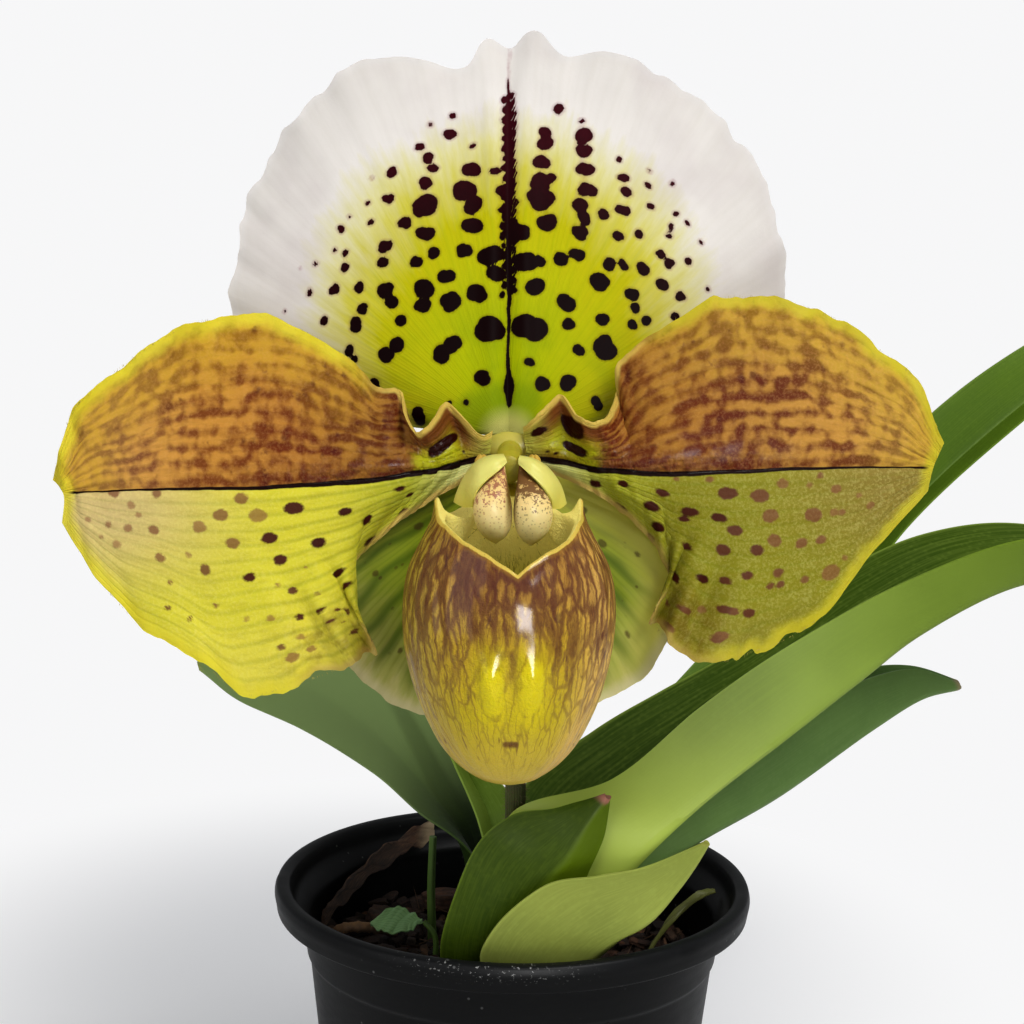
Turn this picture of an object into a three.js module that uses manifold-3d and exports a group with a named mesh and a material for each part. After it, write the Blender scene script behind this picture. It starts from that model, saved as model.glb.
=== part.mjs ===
// A slipper orchid in flower, growing in a small round nursery pot.
//
// Millimetres, +Z up. The origin is the centre of the pot's underside, and the flower faces -Y.
// The flower is drawn in its own frame: x to the right, y away from the viewer, z up its face.

import * as THREE from "three";
import * as BufferGeometryUtils from "three/addons/utils/BufferGeometryUtils.js";
import Module from "manifold-3d";

// Pot
const POT_HEIGHT = 76;
const RIM_RADIUS = 42;
const RIM_INNER_RADIUS = 39;
const LIP_HEIGHT = 5;
const SHOULDER_RADIUS = 37;
const BASE_RADIUS = 29;
const WALL = 1.2;
const FLOOR = 1.6;
const LATHE_STEPS = 44;
const DRAIN_HOLES = 6;
const DRAIN_HOLE_RADIUS = 4;
const DRAIN_CIRCLE_RADIUS = 20;

// Potting medium and the plant's crown
const SEAT_GAP = 0.3;
const MEDIUM_TOP = 63;
const MEDIUM_SINK = 1.5;
const CROWN_CENTRE = [2, -21];
const CROWN_RADII = [11.5, 13];
const CROWN_TOP = 67;
const CROWN_SHOULDER = 0.86;

// Plant
const LEAF_THICKNESS = 1.2;
const SCAPE_RADIUS = 1.7;
const OVARY_RADIUS = 2.55;
const TEPAL_THICKNESS = 1;
const POUCH_WALL = 1;
const COLUMN_RADIUS = 2.2;

// Flower
const FLOWER_CENTRE = [-2.2, -61.9, 160.2];
const FLOWER_TILT = THREE.MathUtils.degToRad(-9.1);
const FLOWER_ROLL = THREE.MathUtils.degToRad(-1.2);

const PROBE = 1e-3;

// ---------------------------------------------------------------- shape helpers

const point = (x, y, z) => new THREE.Vector3(x, y, z);
const mix = THREE.MathUtils.lerp;

// A smooth function through (x, y) knots: cubic pieces with finite-difference slopes.
function through(knots) {
  const last = knots.length - 1;
  const slopes = knots.map((_, i) => {
    const [x0, y0] = knots[Math.max(i - 1, 0)];
    const [x1, y1] = knots[Math.min(i + 1, last)];
    return (y1 - y0) / (x1 - x0);
  });
  return (x) => {
    let i = 0;
    while (i < last - 1 && x > knots[i + 1][0]) i += 1;
    const [x0, y0] = knots[i];
    const [x1, y1] = knots[i + 1];
    const span = x1 - x0;
    const t = THREE.MathUtils.clamp((x - x0) / span, 0, 1);
    const h00 = (1 + 2 * t) * (1 - t) ** 2;
    const h10 = t * (1 - t) ** 2;
    const h01 = t * t * (3 - 2 * t);
    const h11 = t * t * (t - 1);
    return h00 * y0 + h10 * span * slopes[i] + h01 * y1 + h11 * span * slopes[i + 1];
  };
}

// A smooth rail in space through its control points, with a parameter from 0 to 1.
function rail(points) {
  const curve = new THREE.CatmullRomCurve3(points.map(([x, y, z]) => point(x, y, z)));
  return (t) => curve.getPoint(t);
}

// A closed body from its vertices and triangles, turned so that its faces point out.
function body(vertices, triangles) {
  let volume = 0;
  for (const [a, b, c] of triangles) {
    volume += vertices[a].dot(vertices[b].clone().cross(vertices[c]));
  }
  const faces = volume < 0 ? triangles.map(([a, b, c]) => [a, c, b]) : triangles;
  const geometry = new THREE.BufferGeometry();
  const positions = vertices.flatMap((v) => [v.x, v.y, v.z]);
  geometry.setAttribute("position", new THREE.Float32BufferAttribute(positions, 3));
  geometry.setIndex(faces.flat());
  return geometry;
}

// The unit normal of surface(u, v), from points close by that stay inside the unit square.
function surfaceNormal(surface, u, v) {
  const along = surface(Math.min(u + PROBE, 1), v).sub(surface(Math.max(u - PROBE, 0), v));
  const across = surface(u, Math.min(v + PROBE, 1)).sub(surface(u, Math.max(v - PROBE, 0)));
  return along.cross(across).normalize();
}

// A sheet of even thickness about surface(u, v), closed along its four edges.
function sheet(surface, columns, rows, thickness) {
  const vertices = [];
  for (const side of [0.5, -0.5]) {
    for (let j = 0; j <= rows; j += 1) {
      for (let i = 0; i <= columns; i += 1) {
        const u = i / columns;
        const v = j / rows;
        const offset = surfaceNormal(surface, u, v).multiplyScalar(side * thickness);
        vertices.push(surface(u, v).add(offset));
      }
    }
  }
  const width = columns + 1;
  const back = width * (rows + 1);
  const triangles = [];
  const quad = (a, b, c, d) => triangles.push([a, b, c], [a, c, d]);
  for (let j = 0; j < rows; j += 1) {
    for (let i = 0; i < columns; i += 1) {
      const a = j * width + i;
      quad(a, a + 1, a + width + 1, a + width);
      quad(back + a, back + a + width, back + a + width + 1, back + a + 1);
    }
  }
  for (let i = 0; i < columns; i += 1) {
    const top = rows * width + i;
    quad(i, back + i, back + i + 1, i + 1);
    quad(top, top + 1, back + top + 1, back + top);
  }
  for (let j = 0; j < rows; j += 1) {
    const left = j * width;
    const right = left + columns;
    quad(left, left + width, back + left + width, back + left);
    quad(right, back + right, back + right + width, right + width);
  }
  return body(vertices, triangles);
}

// A closed body from a first pole, through rings of equally many points, to a last pole.
function loft(firstPole, rings, lastPole) {
  const steps = rings[0].length;
  const vertices = [firstPole, ...rings.flat(), lastPole];
  const end = vertices.length - 1;
  const at = (ring, i) => 1 + ring * steps + (i % steps);
  const triangles = [];
  for (let i = 0; i < steps; i += 1) {
    triangles.push([0, at(0, i + 1), at(0, i)]);
    triangles.push([end, at(rings.length - 1, i), at(rings.length - 1, i + 1)]);
    for (let ring = 0; ring < rings.length - 1; ring += 1) {
      triangles.push([at(ring, i), at(ring, i + 1), at(ring + 1, i + 1)]);
      triangles.push([at(ring, i), at(ring + 1, i + 1), at(ring + 1, i)]);
    }
  }
  return body(vertices, triangles);
}

// A blade folded along its keel, from three rails with equally many control points.
function blade({ near, keel, far }, rows, columnsPerHalf, thickness) {
  const rails = [rail(near), rail(keel), rail(far)];
  const surface = (u, v) => {
    const half = u < 0.5 ? 0 : 1;
    return rails[half](v).lerp(rails[half + 1](v), 2 * u - half);
  };
  return sheet(surface, 2 * columnsPerHalf, rows, thickness);
}

// A round rod along a smooth path.
function rod(points, radius, steps, sides) {
  const section = new THREE.Shape();
  for (let i = 0; i < sides; i += 1) {
    const angle = (2 * Math.PI * i) / sides;
    const place = [radius * Math.cos(angle), radius * Math.sin(angle)];
    if (i === 0) section.moveTo(...place);
    else section.lineTo(...place);
  }
  const path = new THREE.CatmullRomCurve3(points.map(([x, y, z]) => point(x, y, z)));
  return new THREE.ExtrudeGeometry(section, { steps, bevelEnabled: false, extrudePath: path });
}

const model = new THREE.Group();
const flower = new THREE.Group();
flower.position.set(...FLOWER_CENTRE);
flower.rotation.set(FLOWER_TILT, FLOWER_ROLL, 0);
model.add(flower);

// Adds a named piece to a group.
function add(group, name, geometry, color, roughness, metalness = 0) {
  const material = new THREE.MeshStandardMaterial({ color, roughness, metalness });
  const mesh = new THREE.Mesh(geometry, material);
  mesh.name = name;
  group.add(mesh);
  return mesh;
}

// ---------------------------------------------------------------- pot and medium

const wasm = await Module();
wasm.setup();

function toManifold(geometry) {
  const bare = geometry.clone();
  bare.deleteAttribute("normal");
  bare.deleteAttribute("uv");
  const merged = BufferGeometryUtils.mergeVertices(bare, 1e-4);
  const vertProperties = new Float32Array(merged.attributes.position.array);
  const triVerts = new Uint32Array(merged.index.array);
  return new wasm.Manifold(new wasm.Mesh({ numProp: 3, vertProperties, triVerts }));
}

function fromManifold(solid) {
  const { vertProperties, triVerts } = solid.getMesh();
  const geometry = new THREE.BufferGeometry();
  geometry.setAttribute("position", new THREE.BufferAttribute(vertProperties, 3));
  geometry.setIndex(new THREE.BufferAttribute(triVerts, 1));
  return geometry;
}

// A lathe about Z from (radius, z) pairs; three.js turns its lathes about Y.
function lathe(profile) {
  const points = profile.map(([radius, z]) => new THREE.Vector2(radius, z));
  return new THREE.LatheGeometry(points, LATHE_STEPS).rotateX(Math.PI / 2);
}

const lipBottom = POT_HEIGHT - LIP_HEIGHT;
const wallInner = (z) => mix(BASE_RADIUS, SHOULDER_RADIUS, z / lipBottom) - WALL;

function pot() {
  const edge = 0.8;
  const profile = [
    [0, 0],
    [BASE_RADIUS - edge, 0],
    [BASE_RADIUS, edge],
    [SHOULDER_RADIUS, lipBottom],
    [RIM_RADIUS - edge, lipBottom],
    [RIM_RADIUS, POT_HEIGHT - 2],
    [RIM_RADIUS - edge, POT_HEIGHT],
    [RIM_INNER_RADIUS + edge, POT_HEIGHT],
    [RIM_INNER_RADIUS, POT_HEIGHT - edge],
    [RIM_INNER_RADIUS - 0.5, lipBottom + WALL],
    [wallInner(lipBottom), lipBottom],
    [wallInner(FLOOR), FLOOR],
    [0, FLOOR],
  ];
  let solid = toManifold(lathe(profile));
  for (let i = 0; i < DRAIN_HOLES; i += 1) {
    const angle = (2 * Math.PI * (i + 0.5)) / DRAIN_HOLES;
    const hole = new THREE.CylinderGeometry(DRAIN_HOLE_RADIUS, DRAIN_HOLE_RADIUS, 4 * FLOOR, 12);
    hole.rotateX(Math.PI / 2);
    hole.translate(
      DRAIN_CIRCLE_RADIUS * Math.cos(angle),
      DRAIN_CIRCLE_RADIUS * Math.sin(angle),
      FLOOR / 2,
    );
    solid = solid.subtract(toManifold(hole));
  }
  return fromManifold(solid);
}

function pottingMedium() {
  const bottom = FLOOR + SEAT_GAP;
  const rimZ = MEDIUM_TOP - MEDIUM_SINK;
  const clearance = SEAT_GAP + 0.1;
  return lathe([
    [0, bottom],
    [wallInner(bottom) - clearance, bottom],
    [wallInner(rimZ) - clearance, rimZ],
    [0.6 * wallInner(rimZ), MEDIUM_TOP],
    [0, MEDIUM_TOP],
  ]);
}

function crown() {
  const bottom = MEDIUM_TOP + SEAT_GAP;
  const shape = lathe([
    [0, bottom],
    [1, bottom],
    [1, mix(bottom, CROWN_TOP, 0.6)],
    [CROWN_SHOULDER, CROWN_TOP],
    [0, CROWN_TOP],
  ]);
  return shape.scale(CROWN_RADII[0], CROWN_RADII[1], 1).translate(...CROWN_CENTRE, 0);
}

add(model, "pot", pot(), 0x1c1d1f, 0.45);
add(model, "potting_medium", pottingMedium(), 0x1d140e, 0.95);
add(model, "crown", crown(), 0x8a8a50, 0.7);

// ---------------------------------------------------------------- leaves

const LEAF_START = CROWN_TOP + 0.8;

const leaves = {
  leaf_front_right: {
    color: 0x7fa04a,
    rows: 26,
    near: [
      [0, -25, LEAF_START], [-3.5, -29, 83], [-0.5, -31.5, 97.5], [15.6, -29, 102.7],
      [29.7, -25, 114.1], [46.2, -20, 124.8], [62.9, -16, 133.4], [84, -12, 140.4],
      [105, -6, 139], [119, 5, 130],
    ],
    keel: [
      [6.5, -27, LEAF_START], [12, -30.5, 79], [20.2, -33, 90.8], [29.8, -30, 99.5],
      [44.6, -24, 109.8], [56.7, -18, 117.8], [67.3, -13, 124.7], [86.2, -5, 132.1],
      [106, 2, 132], [120, 7, 128],
    ],
    far: [
      [4, -18, LEAF_START], [3, -14, 82], [2.5, -12, 94], [14.4, -8, 104.7],
      [24.7, -5, 111.4], [38, -2, 118.5], [52, 3, 129], [71, 7, 138],
      [92, 11, 139], [120.5, 8.5, 129.5],
    ],
  },
  leaf_short_sheath: {
    color: 0x5e7a24,
    rows: 14,
    near: [
      [-9.5, -29.5, LEAF_START], [-11.6, -33, 74.1], [-9.1, -35, 85.8], [-5.5, -35, 94.2],
      [-0.5, -34, 98], [7, -34.5, 99.8], [14.2, -34.9, 102.3],
    ],
    keel: [
      [1.5, -29.8, LEAF_START], [1, -32.5, 76], [2.5, -34.6, 83], [5.5, -36, 88.3],
      [8.5, -36.5, 92.3], [11.5, -36, 97.5], [14.4, -35.2, 101.7],
    ],
    far: [
      [5, -29.3, LEAF_START], [8.6, -31.2, 76], [10.5, -33.3, 84], [12.3, -34.5, 90],
      [14.2, -34.5, 95], [14.8, -34.3, 99], [15, -34.2, 101.7],
    ],
  },
  leaf_basal_pale: {
    color: 0xb3bd6a,
    rows: 14,
    near: [
      [-2, -33, LEAF_START], [-5.1, -36, 74.8], [-2.5, -38, 81], [5, -38.5, 88.3],
      [13.7, -38, 89.8], [21, -36.5, 90.8], [30.6, -30.4, 93.2],
    ],
    keel: [
      [7, -32.2, LEAF_START], [11.5, -34.6, 74], [15.5, -35.6, 78], [21, -36, 81.5],
      [25, -34.7, 85.5], [28.5, -32.5, 89.5], [31, -30, 92.7],
    ],
    far: [
      [10.3, -27.6, LEAF_START], [15.4, -29.5, 74], [20.5, -31, 80], [24, -31.5, 84],
      [26.5, -31.5, 87.5], [29, -30.5, 90.5], [31.4, -29.4, 93],
    ],
  },
  leaf_low_right: {
    color: 0x4a7a3a,
    rows: 18,
    near: [
      [9.5, -23, LEAF_START], [12.5, -22, 76], [19, -18, 88], [28, -10, 95],
      [43, 1, 101], [62, 17, 108], [75, 28, 108.5], [85.3, 37, 104.2],
    ],
    keel: [
      [11, -20, LEAF_START], [16, -16, 75], [22.5, -13, 81.8], [32.9, -6, 85.9],
      [47, 5, 90.4], [66.4, 20, 99.3], [77.1, 29, 103], [86, 37.3, 103],
    ],
    far: [
      [10.5, -14, LEAF_START], [15, -9, 74], [21.5, 0, 80], [29, 8, 85.5],
      [42.7, 19, 95], [61.9, 31, 106], [76, 37, 107.3], [85.7, 38.8, 103.9],
    ],
  },
  leaf_high_right: {
    color: 0x4f8a3c,
    rows: 20,
    near: [
      [7, -10.5, LEAF_START], [12, -5, 84], [22, 2, 92], [38, 11, 101.5],
      [57, 22, 116], [74, 34, 135], [97.6, 46, 154.4], [114, 54, 166], [125, 62, 176],
    ],
    keel: [
      [5, -9, LEAF_START], [10, -3.5, 83], [20, 4, 91], [35, 15, 100.5],
      [56, 28, 118.5], [79, 41.5, 141.5], [100, 51.5, 158], [116, 58, 168], [125.2, 63, 176.3],
    ],
    far: [
      [1, -9.5, LEAF_START], [4.6, -5, 87.2], [15, 4, 97], [28.4, 15, 107.2],
      [50, 29, 128], [80, 45, 156], [98.7, 54, 168.3], [114, 60, 175], [124, 64, 177.5],
    ],
  },
  leaf_left: {
    color: 0x3c5f38,
    rows: 18,
    near: [
      [-5, -19.5, LEAF_START], [-6.5, -18, 85], [-16.2, -8, 89.5], [-25.7, 3, 94.1],
      [-39.6, 16, 97.9], [-52, 25, 100.3], [-60.6, 31.4, 104.8],
    ],
    keel: [
      [-7.5, -14.5, LEAF_START], [-8, -10, 83], [-15, 1, 90.5], [-25.5, 12, 98],
      [-40, 24, 104], [-52.5, 30, 105.5], [-61, 32.6, 105.6],
    ],
    far: [
      [-5, -10, LEAF_START], [-5, -5, 85.1], [-10.5, 8, 94.5], [-21.5, 20, 104.5],
      [-36, 28, 109.5], [-51, 32, 110.7], [-60.4, 33.2, 106.6],
    ],
  },
  leaf_inner_left: {
    color: 0x6f9040,
    rows: 12,
    near: [
      [-3.2, -14.5, LEAF_START], [-3.6, -14.5, 80], [-5.8, -13.5, 89.3], [-10.6, -3, 97],
      [-16, 8, 106], [-20, 15, 113],
    ],
    keel: [
      [-1.8, -11.5, LEAF_START], [-2.4, -11.5, 80], [-4.2, -10.5, 89.5], [-8.8, -0.5, 95.8],
      [-14.8, 9.5, 105.5], [-20, 15.8, 112.8],
    ],
    far: [
      [-0.5, -13, LEAF_START], [-0.8, -13.5, 82], [-1.9, -13, 92], [-6.4, -4, 97.5],
      [-12.5, 7, 108], [-19.4, 15.5, 113.8],
    ],
  },
};

for (const [name, { color, rows, ...rails }] of Object.entries(leaves)) {
  add(model, name, blade(rails, rows, 2, LEAF_THICKNESS), color, 0.45);
}

// ---------------------------------------------------------------- flower stem and ovary

const scapePath = [
  [0, -20, LEAF_START], [0, -24, 85], [0, -28, 101], [-0.6, -33, 118],
  [-1.3, -37, 132], [-1.5, -39.2, 140.5],
];
add(model, "scape", rod(scapePath, SCAPE_RADIUS, 16, 10), 0x6b5a34, 0.7);

const ovaryPath = rail([
  [-1.5, -39.4, 141], [-1.8, -43, 151], [-2.1, -50.5, 158.2], [-2.2, -59.2, 159.8],
]);
const ovaryRadius = through([[0, 1.8], [0.35, 2.3], [0.8, 2.8], [1, OVARY_RADIUS]]);

// A frame across a path: x stays level, the other axis completes it.
function acrossPath(path, t) {
  const ahead = path(Math.min(t + PROBE, 1)).sub(path(Math.max(t - PROBE, 0))).normalize();
  const level = point(1, 0, 0);
  return [level, ahead.clone().cross(level).normalize()];
}

function ovary() {
  const steps = 12;
  const rings = [];
  for (let j = 0; j <= steps; j += 1) {
    const t = j / steps;
    const [side, back] = acrossPath(ovaryPath, t);
    const ring = [];
    for (let i = 0; i < 12; i += 1) {
      const angle = (2 * Math.PI * i) / 12;
      const ribbed = ovaryRadius(t) * (i % 2 === 0 ? 1 : 0.92);
      const place = ovaryPath(t);
      place.addScaledVector(side, ribbed * Math.cos(angle));
      place.addScaledVector(back, ribbed * Math.sin(angle));
      ring.push(place);
    }
    rings.push(ring);
  }
  return loft(ovaryPath(0), rings, ovaryPath(1));
}
add(model, "ovary", ovary(), 0x7a7a3a, 0.6);

// The bract: a pointed sheath about the lower ovary, open towards the flower.
function bract() {
  const length = 0.62;
  const halfWrap = through([[0, 2.4], [0.5, 1.7], [1, 0.25]]);
  const surface = (u, v) => {
    const t = 0.02 + length * v;
    const [side, back] = acrossPath(ovaryPath, t);
    const angle = Math.PI / 2 + (2 * u - 1) * halfWrap(v);
    const radius = ovaryRadius(t) + 1.1 + 1.4 * v * v;
    const place = ovaryPath(t);
    place.addScaledVector(side, radius * Math.cos(angle));
    return place.addScaledVector(back, radius * Math.sin(angle));
  };
  return sheet(surface, 10, 8, 0.7);
}
add(model, "bract", bract(), 0x7e9444, 0.6);

// ---------------------------------------------------------------- sepals

// A fan about a centre in the flower's face: reach(angle) from the vertical, depth(angle, run).
function fan({ centre, turn, limit, innerRadius, reach, depth }, columns, rows) {
  const surface = (u, v) => {
    const angle = mix(-limit, limit, u);
    const run = v ** 0.8;
    const radius = mix(innerRadius, reach(THREE.MathUtils.radToDeg(angle)), run);
    const heading = turn + angle;
    const x = centre[0] + radius * Math.sin(heading);
    const z = centre[1] + radius * Math.cos(heading);
    return point(x, depth(angle, run), z);
  };
  return sheet(surface, columns, rows, TEPAL_THICKNESS);
}

const dorsalReach = through([
  [-84, 14], [-78, 33], [-71, 40.5], [-66.6, 43.5], [-56, 47.2], [-47, 51], [-37, 53.9],
  [-25.5, 56.7], [-19, 57.3], [-11, 54.5], [-7, 53.2], [-3, 57.2], [0.3, 55.6], [3.2, 58.2],
  [7, 55.2], [14.5, 56.6], [25, 55.9], [38, 54.2], [47.4, 51.2], [57, 47.3], [63.6, 44.7],
  [71, 40], [78, 32], [84, 14],
]);

const dorsalSepal = {
  centre: [0, 2.3],
  turn: 0,
  limit: THREE.MathUtils.degToRad(83),
  innerRadius: 1.6,
  reach: dorsalReach,
  depth: (angle, run) => {
    const swept = 4 * run ** 2 * Math.sin(angle) ** 2;
    const ruffle = 0.9 * run ** 5 * Math.cos(11 * angle + 0.6);
    return 3.6 + 1.6 * run + swept + ruffle;
  },
};
add(flower, "dorsal_sepal", fan(dorsalSepal, 40, 8), 0xe8e4d0, 0.55);

const synsepalReach = through([
  [-86, 9], [-72, 24], [-55, 33.5], [-41, 35.8], [-29, 37.2], [-18, 36.9], [-8, 37.8],
  [0, 38.6], [8, 37.6], [18.7, 35.7], [32, 35.5], [43, 33.4], [58, 30], [74, 20], [86, 9],
]);

const synsepal = {
  centre: [0, -2.7],
  turn: Math.PI,
  limit: THREE.MathUtils.degToRad(84),
  innerRadius: 1.4,
  reach: (angle) => synsepalReach(-angle),
  depth: (angle, run) => 3.6 + 3 * run - 1.5 * run ** 2 + 0.6 * run ** 4 * Math.cos(9 * angle),
};
add(flower, "synsepal", fan(synsepal, 28, 7), 0xa9b878, 0.55);

// ---------------------------------------------------------------- petals

// Each petal runs out from the column: its upper margin, its dark midline and its lower margin.
// The upper margin is pleated near the column, and the lower one rolls back at its inner corner.
const petals = {
  petal_left: {
    near: [
      [-2.9, 0.5, -2.6], [-5.1, 0.5, -3.5], [-7, 0.5, -4.8], [-9.6, 0.5, -6.3], [-12.1, 0.8, -7.9],
      [-14.5, 1, -9.4], [-17.4, 1.5, -11.7], [-19.8, 2.2, -14.7], [-21.9, 3, -18.4],
      [-22.5, 3.5, -21.8], [-18.6, 1, -27.3], [-24.7, 0, -30.1], [-30.5, -1, -33.1],
      [-37, 0, -34.4], [-44.3, 0.5, -28.8], [-51.9, 1, -24.6], [-58.2, 1, -17.6],
      [-62.9, 1.2, -10.1],
    ],
    keel: [
      [-2.7, 0, -0.9], [-3.6, 0, -1], [-4.6, -0.3, -1.3], [-6.4, -0.6, -1.7], [-8.1, -1, -2.1],
      [-9.8, -1.3, -2.6], [-11.7, -1.6, -3], [-14.2, -2, -3.4], [-17.8, -2.2, -4.1],
      [-22, -2.4, -4.5], [-31, -2.5, -5.1], [-35.9, -2.3, -5.4], [-41.3, -2, -5.4],
      [-47, -1.5, -5.5], [-52.2, -1, -5.6], [-56.8, -0.4, -5.8], [-60.2, 0.2, -5.9],
      [-62.6, 0.8, -6],
    ],
    far: [
      [-2.8, 0, 1.6], [-4.5, -1, 3.5], [-6.4, -1, 5], [-9, 0.5, 7.1], [-10.7, -2.4, 3.6],
      [-12.7, -3.4, 2.4], [-14.4, -2, 5.1], [-15.3, 0.5, 8.6], [-18.5, 0, 8.9],
      [-22, -0.5, 12.7], [-32.6, -1.5, 18.5], [-38.7, -1.5, 18.7], [-44.9, -1, 17.5],
      [-51.3, -0.5, 14], [-56.9, 0, 9.7], [-61.4, 0.5, 5.6], [-63.2, 1, -0.3],
      [-64.4, 1.5, -4.2],
    ],
  },
  petal_right: {
    near: [
      [2.9, 0.5, -2.6], [4.8, 0.5, -2.8], [7, 0.5, -3.6], [9.6, 0.5, -4.6], [12.1, 0.8, -6],
      [14.7, 1, -7.6], [17.2, 1.5, -9.6], [19.7, 2.2, -12.1], [21.6, 3, -14.8],
      [22.6, 3.5, -18.1], [19.7, 1, -23.7], [23, 0, -27], [29.4, -1, -29.7],
      [34.3, 0, -28.4], [39, 0.5, -26.7], [44.8, 1, -22.8], [51.3, 1, -14.4],
      [59.3, 1.2, -5.6],
    ],
    keel: [
      [2.7, 0, -0.8], [4, 0, -1.1], [6.2, -0.3, -1.4], [8.7, -0.6, -1.8], [11.1, -1, -2.3],
      [13.1, -1.3, -2.6], [15.4, -1.6, -2.8], [17.6, -2, -3.1], [20.1, -2.2, -3.3],
      [22.8, -2.4, -3.4], [29.5, -2.5, -3.1], [33.7, -2.3, -3], [38.5, -2, -2.7],
      [43.6, -1.5, -2.6], [48.6, -1, -2.4], [52.9, -0.4, -2.4], [56.5, 0.2, -2.4],
      [60, 0.8, -2.5],
    ],
    far: [
      [2.8, 0, 1.8], [3, -1, 4.4], [4.8, -1, 5.8], [7.7, 0.5, 8.2], [9.4, -2.4, 5.3],
      [11.5, -3.4, 3.8], [13.7, -2, 4.7], [15.3, 0.5, 8.2], [15.2, 0, 11.5],
      [18.8, -0.5, 15.3], [28.5, -1.5, 20.9], [33.8, -1.5, 21.6], [39.8, -1, 20.7],
      [46.3, -0.5, 18.4], [52.3, 0, 14.1], [57.6, 0.5, 9.9], [60.1, 1, 4.3],
      [61.4, 1.5, 1],
    ],
  },
};

for (const [name, rails] of Object.entries(petals)) {
  add(flower, name, blade(rails, 34, 4, TEPAL_THICKNESS), 0xa8843a, 0.45);
}

// ---------------------------------------------------------------- pouch

const POUCH_TOE = point(0.1, -16.5, -44.8);
const POUCH_STEPS = 28;

const pouchHalfWidth = through([
  [-44.8, 0], [-44.4, 2.4], [-43, 5.2], [-40.5, 8], [-36, 10.7], [-31, 12.7], [-26, 13.8],
  [-21, 14.2], [-16, 13.4], [-12, 11.5], [-9, 10], [-6, 9], [-3, 5],
]);
const pouchFront = through([
  [-44.8, -16.5], [-44.4, -18.8], [-43, -21.2], [-38, -24.8], [-30, -27.4], [-22, -28],
  [-16, -27], [-10, -25], [-3, -20],
]);
const pouchBack = through([
  [-44.8, -16.5], [-44.4, -14.6], [-43, -12.4], [-38, -8.6], [-31, -5.6], [-24, -3.6],
  [-16, -2.2], [-3, -1.6],
]);

// The rim's height about the mouth, in degrees from the toe side: a notch in front, a horn on
// each side, and the claw at the back.
const rimHeight = through([
  [0, -16.3], [7, -15.4], [17, -14.1], [30, -12.9], [41, -11.6], [55, -9.8], [70, -8.3],
  [84, -7.2], [92, -7.2], [108, -9.4], [140, -8], [165, -4], [180, -3.3],
]);
// How far the side lobes fold inwards past the rim.
const foldDepth = through([[0, 0.2], [60, 0.8], [85, 2.4], [110, 3.6], [140, 2.4], [180, 0.4]]);

// A point on the pouch at a compass angle (degrees, 0 in front), a height and an inset.
function pouchPoint(angle, z, inset) {
  const heading = THREE.MathUtils.degToRad(angle);
  const front = pouchFront(z);
  const back = pouchBack(z);
  const halfDepth = Math.max((back - front) / 2 - inset, 0.05);
  const halfWidth = Math.max(pouchHalfWidth(z) - inset, 0.05);
  const x = POUCH_TOE.x + halfWidth * Math.sin(heading);
  return point(x, (front + back) / 2 - halfDepth * Math.cos(heading), z);
}

function pouchRing(fall, inset) {
  const ring = [];
  for (let i = 0; i < POUCH_STEPS; i += 1) {
    const angle = (360 * i) / POUCH_STEPS - 180;
    const top = rimHeight(Math.abs(angle));
    const bottom = POUCH_TOE.z + 0.25 + inset;
    ring.push(pouchPoint(angle, mix(top, bottom, fall), inset));
  }
  return ring;
}

function foldRing(side) {
  const ring = [];
  for (let i = 0; i < POUCH_STEPS; i += 1) {
    const angle = (360 * i) / POUCH_STEPS - 180;
    const depth = foldDepth(Math.abs(angle));
    const z = rimHeight(Math.abs(angle)) - 0.5 * depth - 0.6 * side;
    ring.push(pouchPoint(angle, z, depth + POUCH_WALL * side));
  }
  return ring;
}

function pouch() {
  const falls = [0.08, 0.2, 0.34, 0.48, 0.62, 0.75, 0.86, 0.94, 0.985];
  const inside = falls.map((fall) => pouchRing(fall, POUCH_WALL)).reverse();
  const outside = falls.map((fall) => pouchRing(fall, 0));
  const edge = [foldRing(0.9), foldRing(0.1), pouchRing(0, 0)];
  const innerToe = POUCH_TOE.clone().setZ(POUCH_TOE.z + POUCH_WALL);
  return loft(innerToe, [...inside, ...edge, ...outside], POUCH_TOE);
}
add(flower, "pouch", pouch(), 0xc8a63a, 0.35);

// ---------------------------------------------------------------- column and its organs

const columnPath = [[0, 2.2, -0.2], [0, -5, -0.8], [0, -13.2, -2.9]];
add(flower, "column", rod(columnPath, COLUMN_RADIUS, 8, 12), 0xc3cf7a, 0.5);

// The staminode: a shield of two rounded lobes with a groove between them.
function staminode() {
  const [centreX, centreY, centreZ] = [0.6, -14.4, -7.3];
  const lobed = through([[0, 0.86], [30, 1], [90, 1], [150, 1], [180, 0.8]]);
  const ringAt = (spread, side) => {
    const ring = [];
    for (let i = 0; i < 24; i += 1) {
      const angle = (2 * Math.PI * i) / 24;
      const fromTop = Math.abs(THREE.MathUtils.radToDeg(angle) - 180);
      const reach = spread * lobed(180 - fromTop);
      const x = 5.8 * reach * Math.sin(angle);
      const groove = 1 - 0.55 * Math.exp(-((x / 1.1) ** 2));
      const bulge = side * Math.sqrt(Math.max(1 - spread ** 2, 0)) * groove;
      ring.push(point(centreX + x, centreY - bulge, centreZ + 5.7 * reach * Math.cos(angle)));
    }
    return ring;
  };
  const frontRings = [0.35, 0.65, 0.88].map((spread) => ringAt(spread, 3));
  const backRings = [0.8, 0.4].map((spread) => ringAt(spread, -0.9));
  const frontPole = point(centreX, centreY - 1.3, centreZ);
  const backPole = point(centreX, centreY + 0.4, centreZ);
  return loft(frontPole, [...frontRings, ringAt(1, 0), ...backRings], backPole);
}
add(flower, "staminode", staminode(), 0xe3d6a8, 0.5);

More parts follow.
